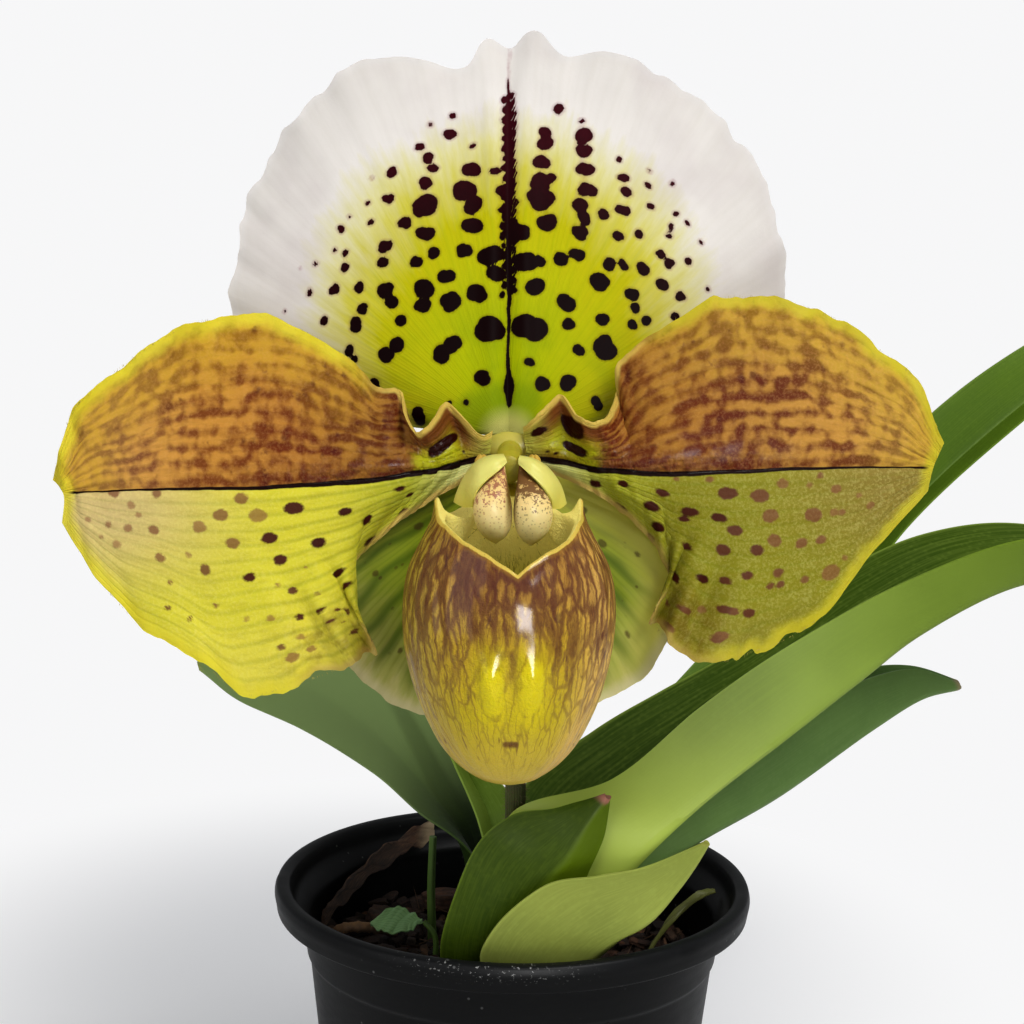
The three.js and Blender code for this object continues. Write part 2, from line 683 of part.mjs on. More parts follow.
// A small round organ of the column.
function knob(radii, place) {
  return new THREE.SphereGeometry(1, 12, 8).scale(...radii).translate(...place);
}
add(flower, "anther_left", knob([1, 1.5, 1.1], [-3.55, -7, -1.8]), 0xd9c070, 0.6);
add(flower, "anther_right", knob([1, 1.5, 1.1], [3.55, -7, -1.8]), 0xd9c070, 0.6);
add(flower, "stigma", knob([2.4, 2.6, 1.1], [0, -8.2, -5.5]), 0xcfd08a, 0.5);

// ---------------------------------------------------------------- what lies and sprouts in the pot

const GROUND = MEDIUM_TOP + SEAT_GAP + 0.1;

// The height of the medium's surface, which falls away towards the pot's wall.
function mediumHeight(x, y) {
  const wall = wallInner(MEDIUM_TOP);
  const fall = THREE.MathUtils.clamp((Math.hypot(x, y) / wall - 0.6) / 0.4, 0, 1);
  return MEDIUM_TOP - MEDIUM_SINK * fall;
}

const sprout = { stalk: 0x6f8f3c, leaf: 0x8fb878 };
const stalkPath = [[-14.3, 3, GROUND], [-14.6, 3.2, 72], [-14.4, 3, 82]];
add(model, "sprout_stalk", rod(stalkPath, 0.8, 8, 8), sprout.stalk, 0.6);

const petiolePath = [[-13.2, -8, GROUND], [-13.4, -7.5, 67.5], [-15.2, -7, 69.8]];
add(model, "sprout_petiole", rod(petiolePath, 0.5, 8, 8), sprout.stalk, 0.6);

const sproutLeaf = {
  near: [[-16.1, -7.3, 69.8], [-18, -8.8, 68.9], [-21.5, -9, 68.4], [-24.3, -7.6, 68.7]],
  keel: [[-16.1, -7, 69.8], [-18.5, -6.6, 69.3], [-21.5, -6, 69.4], [-24.5, -6.6, 69]],
  far: [[-16.1, -6.7, 69.8], [-18, -4.3, 70.5], [-21, -3.2, 71], [-24.2, -5.7, 69.5]],
};
add(model, "sprout_leaf", blade(sproutLeaf, 8, 2, 0.6), sprout.leaf, 0.6);

const grassBlade = {
  near: [[24, -3, GROUND], [27.5, -1.5, 68.5], [33, 1.5, 72.2], [36.4, 4, 72.6]],
  keel: [[24.6, -2.6, GROUND], [28.3, -0.9, 68.1], [33.4, 2.2, 71.7], [36.6, 4.5, 72.3]],
  far: [[25, -2, GROUND], [28, 0.2, 69], [32.8, 3, 72.5], [36.2, 5, 72.9]],
};
add(model, "grass_blade", blade(grassBlade, 10, 1, 0.6), 0x6c7434, 0.7);

const driedLeaf = {
  near: [[-34, 3, 64.6], [-31, 10, 66.5], [-26, 19, 69], [-20, 25, 71.5], [-15, 28, 73.5]],
  keel: [[-34, 4.5, 66.6], [-31.3, 11.6, 68.4], [-26.6, 20.4, 71], [-20.6, 26.6, 73.4],
    [-15.2, 29.6, 75.4]],
  far: [[-33.2, 7, 67.2], [-30.2, 13.6, 69.6], [-25.6, 21.8, 72.4], [-20, 27.8, 74.6],
    [-14.6, 30.8, 76.6]],
};
add(model, "dried_leaf", blade(driedLeaf, 12, 1, 1), 0x5b3f2a, 0.9);

const rootPath = [[-33, -2, 64.4], [-29.5, -3, 66.8], [-25, -1.5, 66.4], [-21, 2, 64.4]];
add(model, "root_strand", rod(rootPath, 1, 12, 8), 0x7a5a38, 0.85);

// Bark chips resting on the medium: centre, half sizes and turn.
const chips = [
  { x: -13, y: 17, size: [4.2, 3, 2], turn: 0.4 },
  { x: -22, y: -10, size: [4, 2.6, 1.6], turn: 1.9 },
  { x: -5, y: 22, size: [5, 3.4, 2.2], turn: 2.6 },
  { x: 22, y: 10, size: [4.4, 3.2, 2], turn: 1.2 },
  { x: 27, y: -13, size: [3.2, 2.2, 1.6], turn: 0.1 },
  { x: 10, y: 24, size: [4.6, 3, 2], turn: 0.9 },
  { x: -24, y: 9, size: [3.8, 3, 1.8], turn: 2.2 },
];
chips.forEach(({ x, y, size, turn }, i) => {
  const stone = new THREE.IcosahedronGeometry(1, 1).rotateX(turn).scale(...size).rotateZ(turn);
  stone.computeBoundingBox();
  stone.translate(x, y, mediumHeight(x, y) + SEAT_GAP - stone.boundingBox.min.z);
  add(model, `bark_chip_${i + 1}`, stone, 0x4a3222, 0.9);
});

export default model;
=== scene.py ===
"""A slipper orchid in flower in its nursery pot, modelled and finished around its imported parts.

Laid out as an add-on: a panel lists one operator for each piece or group of pieces.
Lengths in the tables below are in millimetres; MM turns them into Blender's metres.
"""

import random
from math import atan2, cos, degrees, pi, radians, sin, sqrt

import bpy
import numpy as np
from mathutils import Matrix, Vector

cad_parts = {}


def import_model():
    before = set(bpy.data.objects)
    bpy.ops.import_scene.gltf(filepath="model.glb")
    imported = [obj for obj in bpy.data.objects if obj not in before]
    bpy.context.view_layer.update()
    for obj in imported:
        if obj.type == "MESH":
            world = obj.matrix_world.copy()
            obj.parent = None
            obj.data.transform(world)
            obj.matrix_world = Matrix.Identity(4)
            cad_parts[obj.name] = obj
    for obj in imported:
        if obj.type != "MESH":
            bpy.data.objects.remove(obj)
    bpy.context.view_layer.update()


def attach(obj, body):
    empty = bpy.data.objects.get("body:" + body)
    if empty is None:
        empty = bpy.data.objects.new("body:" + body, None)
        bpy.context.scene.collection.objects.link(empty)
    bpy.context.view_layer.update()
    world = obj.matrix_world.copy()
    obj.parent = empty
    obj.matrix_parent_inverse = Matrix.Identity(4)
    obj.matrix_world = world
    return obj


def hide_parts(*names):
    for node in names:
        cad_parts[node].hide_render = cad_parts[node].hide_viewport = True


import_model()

bl_info = {
    "name": "Potted Slipper Orchid",
    "version": (1, 0, 0),
    "blender": (4, 5, 0),
    "location": "View3D > Sidebar > Orchid",
    "description": "Models and finishes a slipper orchid in its pot, piece by piece",
    "category": "Object",
}

MM = 0.001
CAMERA_DISTANCE = 0.3407
FLOWER_CENTRE = (-2.2, -61.9, 160.2)
FLOWER_TILT = radians(-9.1)
FLOWER_ROLL = radians(-1.2)
TEPAL_THICKNESS = 0.9
DORSAL_FOOT, DORSAL_HALF_SPREAD = 2.3, 83
SYNSEPAL_FOOT, SYNSEPAL_HALF_SPREAD = -2.7, 84
ROOTLET_COUNT, STEM_HAIR_COUNT, OVARY_HAIR_COUNT = 90, 1500, 900
MARGIN_HAIR_COUNT, POUCH_HAIR_COUNT = 420, 150

# --- settings


def colour_property(name, description, rgb):
    return bpy.props.FloatVectorProperty(
        name=name, description=description, subtype="COLOR", size=3, min=0, max=1, default=rgb
    )


class OrchidSizes(bpy.types.PropertyGroup):
    ruffle: bpy.props.FloatProperty(
        name="Ruffle", description="Depth of the waves along the sepal and petal margins",
        default=1, min=0, max=2, subtype="FACTOR",
    )
    spot_size: bpy.props.FloatProperty(
        name="Spot size", description="Size of the dark spots against their usual size",
        default=1, min=0.2, max=2, subtype="FACTOR",
    )
    chip_count: bpy.props.IntProperty(
        name="Bark chips", description="Loose bark chips bedded in the top of the medium",
        default=190, min=0, max=400,
    )
    camera_distance: bpy.props.FloatProperty(
        name="Camera distance", description="How far the camera stands in front of the pot",
        default=CAMERA_DISTANCE, min=0.1, unit="LENGTH",
    )


class OrchidColours(bpy.types.PropertyGroup):
    spot: colour_property("Spots", "Dark maroon of the sepal's and petals' spots", (0.008, 0.0005, 0.001))
    lime: colour_property("Lime", "Yellow-green of the dorsal sepal's middle", (0.47, 0.48, 0.003))
    pot_black: colour_property("Pot black", "Colour of the pot's plastic", (0.0025, 0.0027, 0.0028))


def sizes():
    return bpy.context.scene.orchid_sizes


def colours():
    return bpy.context.scene.orchid_colours


# --- curves and rails


def through(knots):
    """A smooth function through (x, y) knots, for numbers or arrays."""
    xs, ys = np.array(knots, float).T
    slopes = np.empty_like(ys)
    slopes[1:-1] = (ys[2:] - ys[:-2]) / (xs[2:] - xs[:-2])
    slopes[0] = (ys[1] - ys[0]) / (xs[1] - xs[0])
    slopes[-1] = (ys[-1] - ys[-2]) / (xs[-1] - xs[-2])

    def value(x):
        x = np.asarray(x, float)
        i = np.clip(np.searchsorted(xs, x, side="right") - 1, 0, len(xs) - 2)
        span = xs[i + 1] - xs[i]
        t = np.clip((x - xs[i]) / span, 0, 1)
        low = (1 + 2 * t) * (1 - t) ** 2 * ys[i] + t * (1 - t) ** 2 * span * slopes[i]
        high = t * t * (3 - 2 * t) * ys[i + 1] + t * t * (t - 1) * span * slopes[i + 1]
        return low + high

    return value


def rail(points):
    """A smooth line in space through its control points; its parameter runs from 0 to 1."""
    p = np.array(points, float)
    p = np.concatenate([[2 * p[0] - p[1]], p, [2 * p[-1] - p[-2]]])
    gaps = np.sqrt(np.maximum(np.linalg.norm(np.diff(p, axis=0), axis=-1), 1e-6))[..., None]

    def value(t):
        place = np.clip(np.asarray(t, float), 0, 1) * (len(points) - 1)
        i = np.minimum(place.astype(int), len(points) - 2)
        w = (place - i).reshape((-1,) + (1,) * (p.ndim - 1))
        p0, p1, p2, p3 = p[i], p[i + 1], p[i + 2], p[i + 3]
        d0, d1, d2 = gaps[i], gaps[i + 1], gaps[i + 2]
        start = ((p1 - p0) / d0 - (p2 - p0) / (d0 + d1) + (p2 - p1) / d1) * d1
        end = ((p2 - p1) / d1 - (p3 - p1) / (d1 + d2) + (p3 - p2) / d2) * d1
        return (
            p1 + start * w
            + (-3 * p1 + 3 * p2 - 2 * start - end) * w**2
            + (2 * p1 - 2 * p2 + start + end) * w**3
        )

    return value


def smooth(low, high, x):
    """A smooth step from 0 at low to 1 at high."""
    t = np.clip((x - low) / (high - low), 0, 1)
    return t * t * (3 - 2 * t)


def waves(x, seed, octaves=3):
    """A smooth irregular wave along x, about -1 to 1."""
    dice = random.Random(seed)
    total = 0
    for i in range(octaves):
        pitch = 1.7**i * dice.uniform(0.85, 1.15)
        total = total + np.sin(x * pitch + dice.uniform(0, 6.3)) / (1 + i)
    return total / 1.6


FLOWER_TURN = np.array(Matrix.Rotation(FLOWER_TILT, 3, "X") @ Matrix.Rotation(FLOWER_ROLL, 3, "Y")).T


def out_of_flower(points):
    """Moves points from the flower's own frame (x right, y away, z up its face) to the part's."""
    return points @ FLOWER_TURN + np.array(FLOWER_CENTRE)


# --- building meshes


def clean_slate():
    """Leaves edit mode and selects nothing."""
    if bpy.context.object and bpy.context.object.mode != "OBJECT":
        bpy.ops.object.mode_set(mode="OBJECT")
    bpy.ops.object.select_all(action="DESELECT")


def pick(*pieces):
    """Selects these pieces alone and makes the first one active."""
    clean_slate()
    for piece in pieces:
        piece.select_set(True)
    bpy.context.view_layer.objects.active = pieces[0]


def named(name):
    piece = bpy.context.object
    piece.name = name
    piece.data.name = name
    return piece


def corners(piece):
    co = np.empty(len(piece.data.vertices) * 3)
    piece.data.vertices.foreach_get("co", co)
    return co.reshape(-1, 3)


def place(piece, points):
    """Puts the piece's vertices at points, in millimetres."""
    piece.data.vertices.foreach_set("co", (np.asarray(points) * MM).ravel())
    piece.data.update()


def record(piece, name, values):
    """Stores a number, or a vector, at each vertex under a name that materials read."""
    values = np.asarray(values, np.float32)
    kind, key = ("FLOAT", "value") if values.ndim == 1 else ("FLOAT_VECTOR", "vector")
    attribute = piece.data.attributes.new(name, kind, "POINT")
    attribute.data.foreach_set(key, values.ravel())


def place_in_flower(piece, points):
    """Places a piece from points in the flower's frame, and stores them for its material."""
    place(piece, out_of_flower(points))
    record(piece, "own", points)


def grid(name, columns, rows):
    """A unit grid, and where each of its vertices lies across (u) and along (v), 0 to 1."""
    clean_slate()
    bpy.ops.mesh.primitive_grid_add(x_subdivisions=columns, y_subdivisions=rows, size=1)
    piece = named(name)
    co = corners(piece)
    return piece, co[:, 0] + 0.5, co[:, 1] + 0.5


def use(piece, kind, **settings):
    """Adds a modifier to the piece and applies it."""
    modifier = piece.modifiers.new(kind.lower(), kind)
    for key, value in settings.items():
        setattr(modifier, key, value)
    pick(piece)
    bpy.ops.object.modifier_apply(modifier=modifier.name)


def thicken(piece, thickness, weights):
    """Gives a sheet its thickness, which the weights, 0.05 to 1, thin towards its margin."""
    group = piece.vertex_groups.new(name="thickness")
    levels = np.round(np.clip(weights, 0.05, 1) * 20).astype(int)
    for level in np.unique(levels):
        members = np.flatnonzero(levels == level)
        group.add([int(i) for i in members], level / 20, "REPLACE")
    use(
        piece, "SOLIDIFY", thickness=thickness * MM, offset=0, vertex_group="thickness",
        thickness_vertex_group=0, use_even_offset=False,
    )
    piece.vertex_groups.clear()


def finish_piece(piece, material, slot, *nodes, angle=60):
    """Shades the piece, gives it its material and ties it to the frame."""
    pick(piece)
    bpy.ops.object.mode_set(mode="EDIT")
    bpy.ops.mesh.select_all(action="SELECT")
    bpy.ops.mesh.normals_make_consistent(inside=False)
    bpy.ops.object.mode_set(mode="OBJECT")
    bpy.ops.object.shade_smooth_by_angle(angle=radians(angle))
    piece.data.materials.clear()
    piece.data.materials.append(material)
    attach(piece, "root")
    if nodes:
        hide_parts(*nodes)
    return piece


def indices(u, v, columns, rows):
    """The column and row of each vertex of a grid."""
    return np.rint(u * columns).astype(int), np.rint(v * rows).astype(int)


def weld(piece):
    """Closes seams and poles."""
    pick(piece)
    bpy.ops.object.mode_set(mode="EDIT")
    bpy.ops.mesh.select_all(action="SELECT")
    bpy.ops.mesh.remove_doubles(threshold=1e-6)
    bpy.ops.mesh.dissolve_degenerate(threshold=1e-7)
    bpy.ops.mesh.normals_make_consistent(inside=False)
    bpy.ops.object.mode_set(mode="OBJECT")


def copies(piece, count):
    """Repeats the piece's mesh, and hands back one copy's corners and how many it has."""
    shape = corners(piece)
    use(piece, "ARRAY", count=count, use_relative_offset=False)
    return shape


def join(pieces, name):
    """Joins pieces into the first."""
    pick(*pieces)
    bpy.ops.object.join()
    return named(name)


def folded(rails, softness):
    """A surface across three rails, rounded at the keel, as points(u, v)."""
    lines = [rail(points) for points in rails]

    def surface(u, v):
        s = 2 * u - 1
        full = sqrt(1 + softness**2) - softness
        bend = (np.sqrt(s * s + softness**2) - softness) / full
        near, keel, far = (line(v) for line in lines)
        to_near = ((bend - s) / 2)[:, None] * (near - keel)
        to_far = ((bend + s) / 2)[:, None] * (far - keel)
        return keel + to_near + to_far

    return surface


def edge_distance(points, u, v):
    """How far each point of a sheet lies from the sheet's own margin, in millimetres."""
    rim = points[(u < 1e-6) | (u > 1 - 1e-6) | (v > 1 - 1e-6)]
    nearest = np.full(len(points), 1e9)
    for start in range(0, len(rim), 40):
        part = rim[start:start + 40]
        gap = np.linalg.norm(points[:, None, :] - part[None], axis=2).min(axis=1)
        nearest = np.minimum(nearest, gap)
    return nearest


def across(path, t):
    """Two directions across a path: one level to the right, one completing it."""
    ahead = path(np.minimum(t + 1e-3, 1)) - path(np.maximum(t - 1e-3, 0))
    ahead /= np.linalg.norm(ahead, axis=1)[:, None]
    level = np.tile([1, 0, 0], (len(ahead), 1))
    back = np.cross(ahead, level)
    back /= np.linalg.norm(back, axis=1)[:, None]
    side = np.cross(back, ahead)
    return side, back


def round_rod(name, path, radius, columns, rows):
    """A closed rod along a path, its radius(turn in radians, t) in millimetres."""
    piece, u, v = grid(name, columns, rows)
    t = np.clip((v - 0.02) / 0.96, 0, 1)
    cap = np.clip(np.minimum(v, 1 - v) / 0.02, 0, 1)
    turn = 2 * pi * u
    side, back = across(path, t)
    reach = (radius(turn, t) * np.sqrt(1 - (1 - cap) ** 2))[:, None]
    place(piece, path(t) + reach * (np.cos(turn)[:, None] * side + np.sin(turn)[:, None] * back))
    weld(piece)
    return piece


def hairs(name, roots, directions, lengths, root_radius, seed):
    """Fine tapering hairs standing on roots, each a thin three-sided cone."""
    clean_slate()
    bpy.ops.mesh.primitive_cone_add(vertices=3, radius1=1, radius2=0, depth=1, end_fill_type="NOTHING")
    piece = named(name)
    shape = copies(piece, len(roots))
    dice = np.random.default_rng(seed)
    ahead = directions / np.linalg.norm(directions, axis=1)[:, None]
    helper = dice.normal(size=ahead.shape)
    side = np.cross(ahead, helper)
    side /= np.linalg.norm(side, axis=1)[:, None]
    other = np.cross(ahead, side)
    rise = (shape[:, 2] + 0.5)[None, :, None]
    points = (
        roots[:, None, :]
        + ahead[:, None, :] * rise * lengths[:, None, None]
        + side[:, None, :] * shape[None, :, 0, None] * root_radius
        + other[:, None, :] * shape[None, :, 1, None] * root_radius
    )
    place(piece, points.reshape(-1, 3))
    return piece


# --- material nodes


def paint(colour):
    """A colour as nodes take it: three display values, 0 to 255, are made linear."""
    if len(colour) == 4:
        return colour
    shares = [value / 255 for value in colour]
    return [s / 12.92 if s <= 0.04045 else ((s + 0.055) / 1.055) ** 2.4 for s in shares] + [1]


class Signal:
    """A node's output; arithmetic on one makes a Math node."""

    def __init__(self, nodes, socket):
        self.nodes, self.socket = nodes, socket

    def __add__(self, other):
        return self.nodes.math("ADD", self, other)

    def __radd__(self, other):
        return self.nodes.math("ADD", other, self)

    def __sub__(self, other):
        return self.nodes.math("SUBTRACT", self, other)

    def __rsub__(self, other):
        return self.nodes.math("SUBTRACT", other, self)

    def __mul__(self, other):
        return self.nodes.math("MULTIPLY", self, other)

    def __rmul__(self, other):
        return self.nodes.math("MULTIPLY", other, self)

    def __truediv__(self, other):
        return self.nodes.math("DIVIDE", self, other)

    def __pow__(self, other):
        return self.nodes.math("POWER", self, other)

    def __abs__(self):
        return self.nodes.math("ABSOLUTE", self)


class Nodes:
    """Adds nodes to a tree in a line each."""

    def __init__(self, tree):
        self.tree = tree

    def feed(self, value, socket):
        value = getattr(value, "socket", value)
        if isinstance(value, bpy.types.NodeSocket):
            self.tree.links.new(value, socket)
        else:
            socket.default_value = paint(value) if socket.type == "RGBA" else value

    def node(self, kind, inputs, **settings):
        node = self.tree.nodes.new("ShaderNode" + kind)
        for key, value in settings.items():
            setattr(node, key, value)
        for key, value in inputs.items():
            self.feed(value, node.inputs[key])
        return node

    def add(self, kind, inputs, output=0, **settings):
        return Signal(self, self.node(kind, inputs, **settings).outputs[output])

    def math(self, operation, a, b=0):
        return self.add("Math", {0: a, 1: b}, operation=operation)

    def step(self, value, low, high, start=0, end=1):
        """A smooth step of value from start at low to end at high."""
        stops = {0: value, 1: low, 2: high, 3: start, 4: end}
        return self.add("MapRange", stops, interpolation_type="SMOOTHSTEP")

    def mix(self, factor, a, b):
        return self.add("Mix", {0: factor, 6: a, 7: b}, 2, data_type="RGBA")

    def ramp(self, value, *stops):
        """Colours along a value, from (place, colour) stops."""
        node = self.node("ValToRGB", {0: value})
        elements = node.color_ramp.elements
        while len(elements) < len(stops):
            elements.new(1)
        for element, (spot, colour) in zip(elements, stops):
            element.position, element.color = spot, paint(colour)
        return Signal(self, node.outputs[0])

    def split(self, vector):
        return [Signal(self, each) for each in self.node("SeparateXYZ", {0: vector}).outputs]

    def vector(self, x, y, z=0):
        return self.add("CombineXYZ", {0: x, 1: y, 2: z})

    def object(self):
        return self.add("TexCoord", {}, "Object")

    def uv(self):
        return self.split(self.add("UVMap", {}, uv_map="UVMap"))[:2]

    def number(self, name):
        return self.add("Attribute", {}, "Fac", attribute_name=name)

    def place(self, name):
        return self.add("Attribute", {}, "Vector", attribute_name=name)

    def noise(self, vector, scale, detail=2, roughness=0.5, distortion=0):
        return self.add("TexNoise", {"Vector": vector, "Scale": scale, "Detail": detail,
                                     "Roughness": roughness, "Distortion": distortion}, "Fac")

    def cells(self, vector, scale, feature="F1", randomness=1):
        inputs = {"Vector": vector, "Scale": scale, "Randomness": randomness}
        return self.add("TexVoronoi", inputs, "Distance", feature=feature)

    def group(self, name, output=0, **inputs):
        if name not in bpy.data.node_groups:
            build_groups()
        return self.add("Group", inputs, output, node_tree=bpy.data.node_groups[name])

    def bump(self, height, distance):
        """A bump whose height of 1 stands for distance, in millimetres."""
        return self.add("Bump", {"Height": height, "Strength": 1, "Distance": distance * MM})


SOCKETS = {"number": "NodeSocketFloat", "vector": "NodeSocketVector"}


def new_group(name, outputs, **inputs):
    """An empty node group; each input is a number's usual value, or None for a vector."""
    tree = bpy.data.node_groups.new(name, "ShaderNodeTree")
    for label, value in inputs.items():
        kind = SOCKETS["vector" if value is None else "number"]
        socket = tree.interface.new_socket(label, in_out="INPUT", socket_type=kind)
        if value is not None:
            socket.default_value = value
    for label in outputs:
        tree.interface.new_socket(label, in_out="OUTPUT", socket_type=SOCKETS["number"])
    n = Nodes(tree)
    given = [Signal(n, each) for each in tree.nodes.new("NodeGroupInput").outputs]
    leave = tree.nodes.new("NodeGroupOutput").inputs

    def out(*values):
        for value, socket in zip(values, leave):
            n.feed(value, socket)

    return n, given, out


def build_groups():
    """The effects that several materials share."""
    n, given, out = new_group("Pigment edge", ["Mask"], Field=0, Vector=None, Grain=900, Wobble=0.3,
                              Softness=0.12)
    field, vector, grain, wobble, softness = given[:5]
    wander = n.noise(vector, grain, 3, 0.6)
    out(n.step(field + (wander - 0.5) * (wobble * 2), softness * -1, softness))

    n, given, out = new_group("Fine veins", ["Line", "Height"], Across=0, Along=0, Count=30,
                              Wander=0.3, Width=0.25)
    sideways, along, count, wander, width = given[:5]
    drift = n.noise(n.vector(sideways * 2, along), 2.2, 1)
    saw = n.math("PINGPONG", sideways * count + (drift - 0.5) * wander, 0.5)
    out(n.step(saw, width, 0), n.step(saw, 0.5, 0))

    n, given, out = new_group("Cell grain", ["Height", "Light"], Vector=None, Size=3)
    grain = n.noise(given[0], given[1], 2, 0.7)
    out(grain, n.step(grain, 0.42, 0.68))

    n, given, out = new_group("Dust", ["Mask"], Vector=None, Size=160, Amount=0.4)
    vector, size, amount = given[:3]
    both = n.noise(vector, size, 5, 0.62) * 0.7 + n.noise(vector, size * 9, 2, 0.6) * 0.3
    low = 0.72 - amount * 0.3
    out(n.step(both, low, low + 0.16))

    n, given, out = new_group("Fibre", ["Value"], Vector=None, Stretch=0.12, Size=900)
    vector, stretch, size = given[:3]
    drawn = n.add("VectorMath", {0: vector, 1: n.vector(1, 1, stretch)}, operation="MULTIPLY")
    out(n.noise(drawn, size, 4, 0.65))


def new_material(name, **constants):
    """A material with a Principled shader, its constant sockets set, and its node helper."""
    material = bpy.data.materials.new(name)
    material.use_nodes = True
    shader = material.node_tree.nodes["Principled BSDF"]
    for key, value in constants.items():
        shader.inputs[key.replace("_", " ")].default_value = value
    n = Nodes(material.node_tree)

    def wire(**inputs):
        for key, value in inputs.items():
            n.feed(value, shader.inputs[key.replace("_", " ")])

    return material, n, wire


# --- pot

POT_HEIGHT = 76
LIP_BOTTOM = 71
RIM_RADIUS = 42
SHOULDER_RADIUS = 37
BASE_RADIUS = 29
WALL = 1.2
FLOOR = 1.6
DRAIN_COUNT, DRAIN_RADIUS, DRAIN_RING = 6, 4, 20
RIM_NICKS = [(-47, 0.035, 1), (-58, 0.02, 0.6)]


def pot_wall(z):
    """The pot's outer radius at a height."""
    return BASE_RADIUS + (SHOULDER_RADIUS - BASE_RADIUS) * z / LIP_BOTTOM


def wall_inner(z):
    return pot_wall(z) - WALL


def rounded(profile, steps=4):
    """A profile of (radius, z, corner radius) with each corner turned into an arc."""
    points = []
    for i, (x, z, corner) in enumerate(profile):
        here = np.array([x, z])
        if corner == 0 or i in (0, len(profile) - 1):
            points.append(here)
            continue
        before = np.array(profile[i - 1][:2]) - here
        after = np.array(profile[i + 1][:2]) - here
        reach = min(corner, 0.45 * np.linalg.norm(before), 0.45 * np.linalg.norm(after))
        start = here + before / np.linalg.norm(before) * reach
        end = here + after / np.linalg.norm(after) * reach
        for k in range(steps + 1):
            t = k / steps
            points.append((1 - t) ** 2 * start + 2 * t * (1 - t) * here + t * t * end)
    return points


def pot_profile():
    """The pot's section: foot, tapered wall with moulded rings, rolled lip, inside and floor."""
    outer = [(0, 0.5, 0), (19, 0.5, 0.4), (20, 0, 0.4)]
    outer += [(BASE_RADIUS - 0.4, 0, 0.5), (BASE_RADIUS, 0.9, 0.5)]
    outer += [(pot_wall(4), 4, 0.3), (pot_wall(4.6) - 0.35, 4.6, 0.3)]
    outer += [(pot_wall(20) - 0.35, 20, 0), (pot_wall(40) - 0.35, 40, 0)]
    outer += [(pot_wall(62.6) - 0.35, 62.6, 0.35), (pot_wall(63.3) + 0.1, 63.3, 0.35)]
    outer += [(pot_wall(69.2) + 0.1, 69.2, 0.5), (pot_wall(70) + 0.7, 70.2, 0.6), (40.6, LIP_BOTTOM, 0.6)]
    lip = [
        (41.5, LIP_BOTTOM + 0.2, 0.6), (41.75, 73, 0.5), (RIM_RADIUS, 74.2, 0.9),
        (41.6, 75.8, 0.9), (40.4, POT_HEIGHT, 0.9), (39.4, 75.7, 0.7), (39, 74.6, 0.8),
        (38.5, 72.4, 1), (37, 71.2, 1), (wall_inner(69.5), 69.5, 0.8),
    ]
    inside = [
        (wall_inner(50), 50, 0), (wall_inner(30), 30, 0), (wall_inner(FLOOR), FLOOR + 0.6, 1.2),
        (wall_inner(FLOOR) - 1.2, FLOOR, 0.6), (0, FLOOR, 0),
    ]
    return rounded(outer + lip + inside)


class ORCHID_OT_pot(bpy.types.Operator):
    """Spin the pot from its section, bore its drain holes and give it worn black plastic"""
    bl_idname = "orchid.pot"
    bl_label = "Pot"

    def execute(self, context):
        profile = pot_profile()
        clean_slate()
        bpy.ops.mesh.primitive_circle_add(vertices=len(profile), radius=1, fill_type="NOTHING")
        piece = named("pot_shell")
        place(piece, [(r, 0, z) for r, z in profile])
        bpy.ops.object.mode_set(mode="EDIT")
        bpy.ops.mesh.select_all(action="SELECT")
        bpy.ops.mesh.spin(steps=144, angle=2 * pi, center=(0, 0, 0), axis=(0, 0, 1))
        bpy.ops.object.mode_set(mode="OBJECT")
        weld(piece)
        for i in range(DRAIN_COUNT):
            angle = 2 * pi * (i + 0.5) / DRAIN_COUNT
            clean_slate()
            bpy.ops.mesh.primitive_cylinder_add(
                vertices=32, radius=DRAIN_RADIUS * MM, depth=8 * MM,
                location=(DRAIN_RING * MM * cos(angle), DRAIN_RING * MM * sin(angle), 0),
            )
            cutter = named("drain_cutter")
            use(piece, "BOOLEAN", operation="DIFFERENCE", object=cutter, solver="EXACT")
            bpy.data.objects.remove(cutter)
        co = corners(piece) / MM
        angle = np.arctan2(co[:, 1], co[:, 0])
        radius = np.hypot(co[:, 0], co[:, 1])
        lip = smooth(69, 74, co[:, 2])
        chip = sum(deep * np.exp(-((angle - radians(at)) / wide) ** 2) for at, wide, deep in RIM_NICKS)
        nick = chip * smooth(40.2, 42, radius) * smooth(72, 76, co[:, 2])
        pull = 1 + 0.0025 * waves(angle * 2, 4) * lip - 0.011 * nick
        co[:, :2] *= pull[:, None]
        co[:, 2] += (0.12 * waves(angle * 3, 5) - 0.1) * lip - 0.35 * nick
        place(piece, co)
        finish_piece(piece, pot_material(), "pot_plastic", "pot", angle=35)
        return {"FINISHED"}


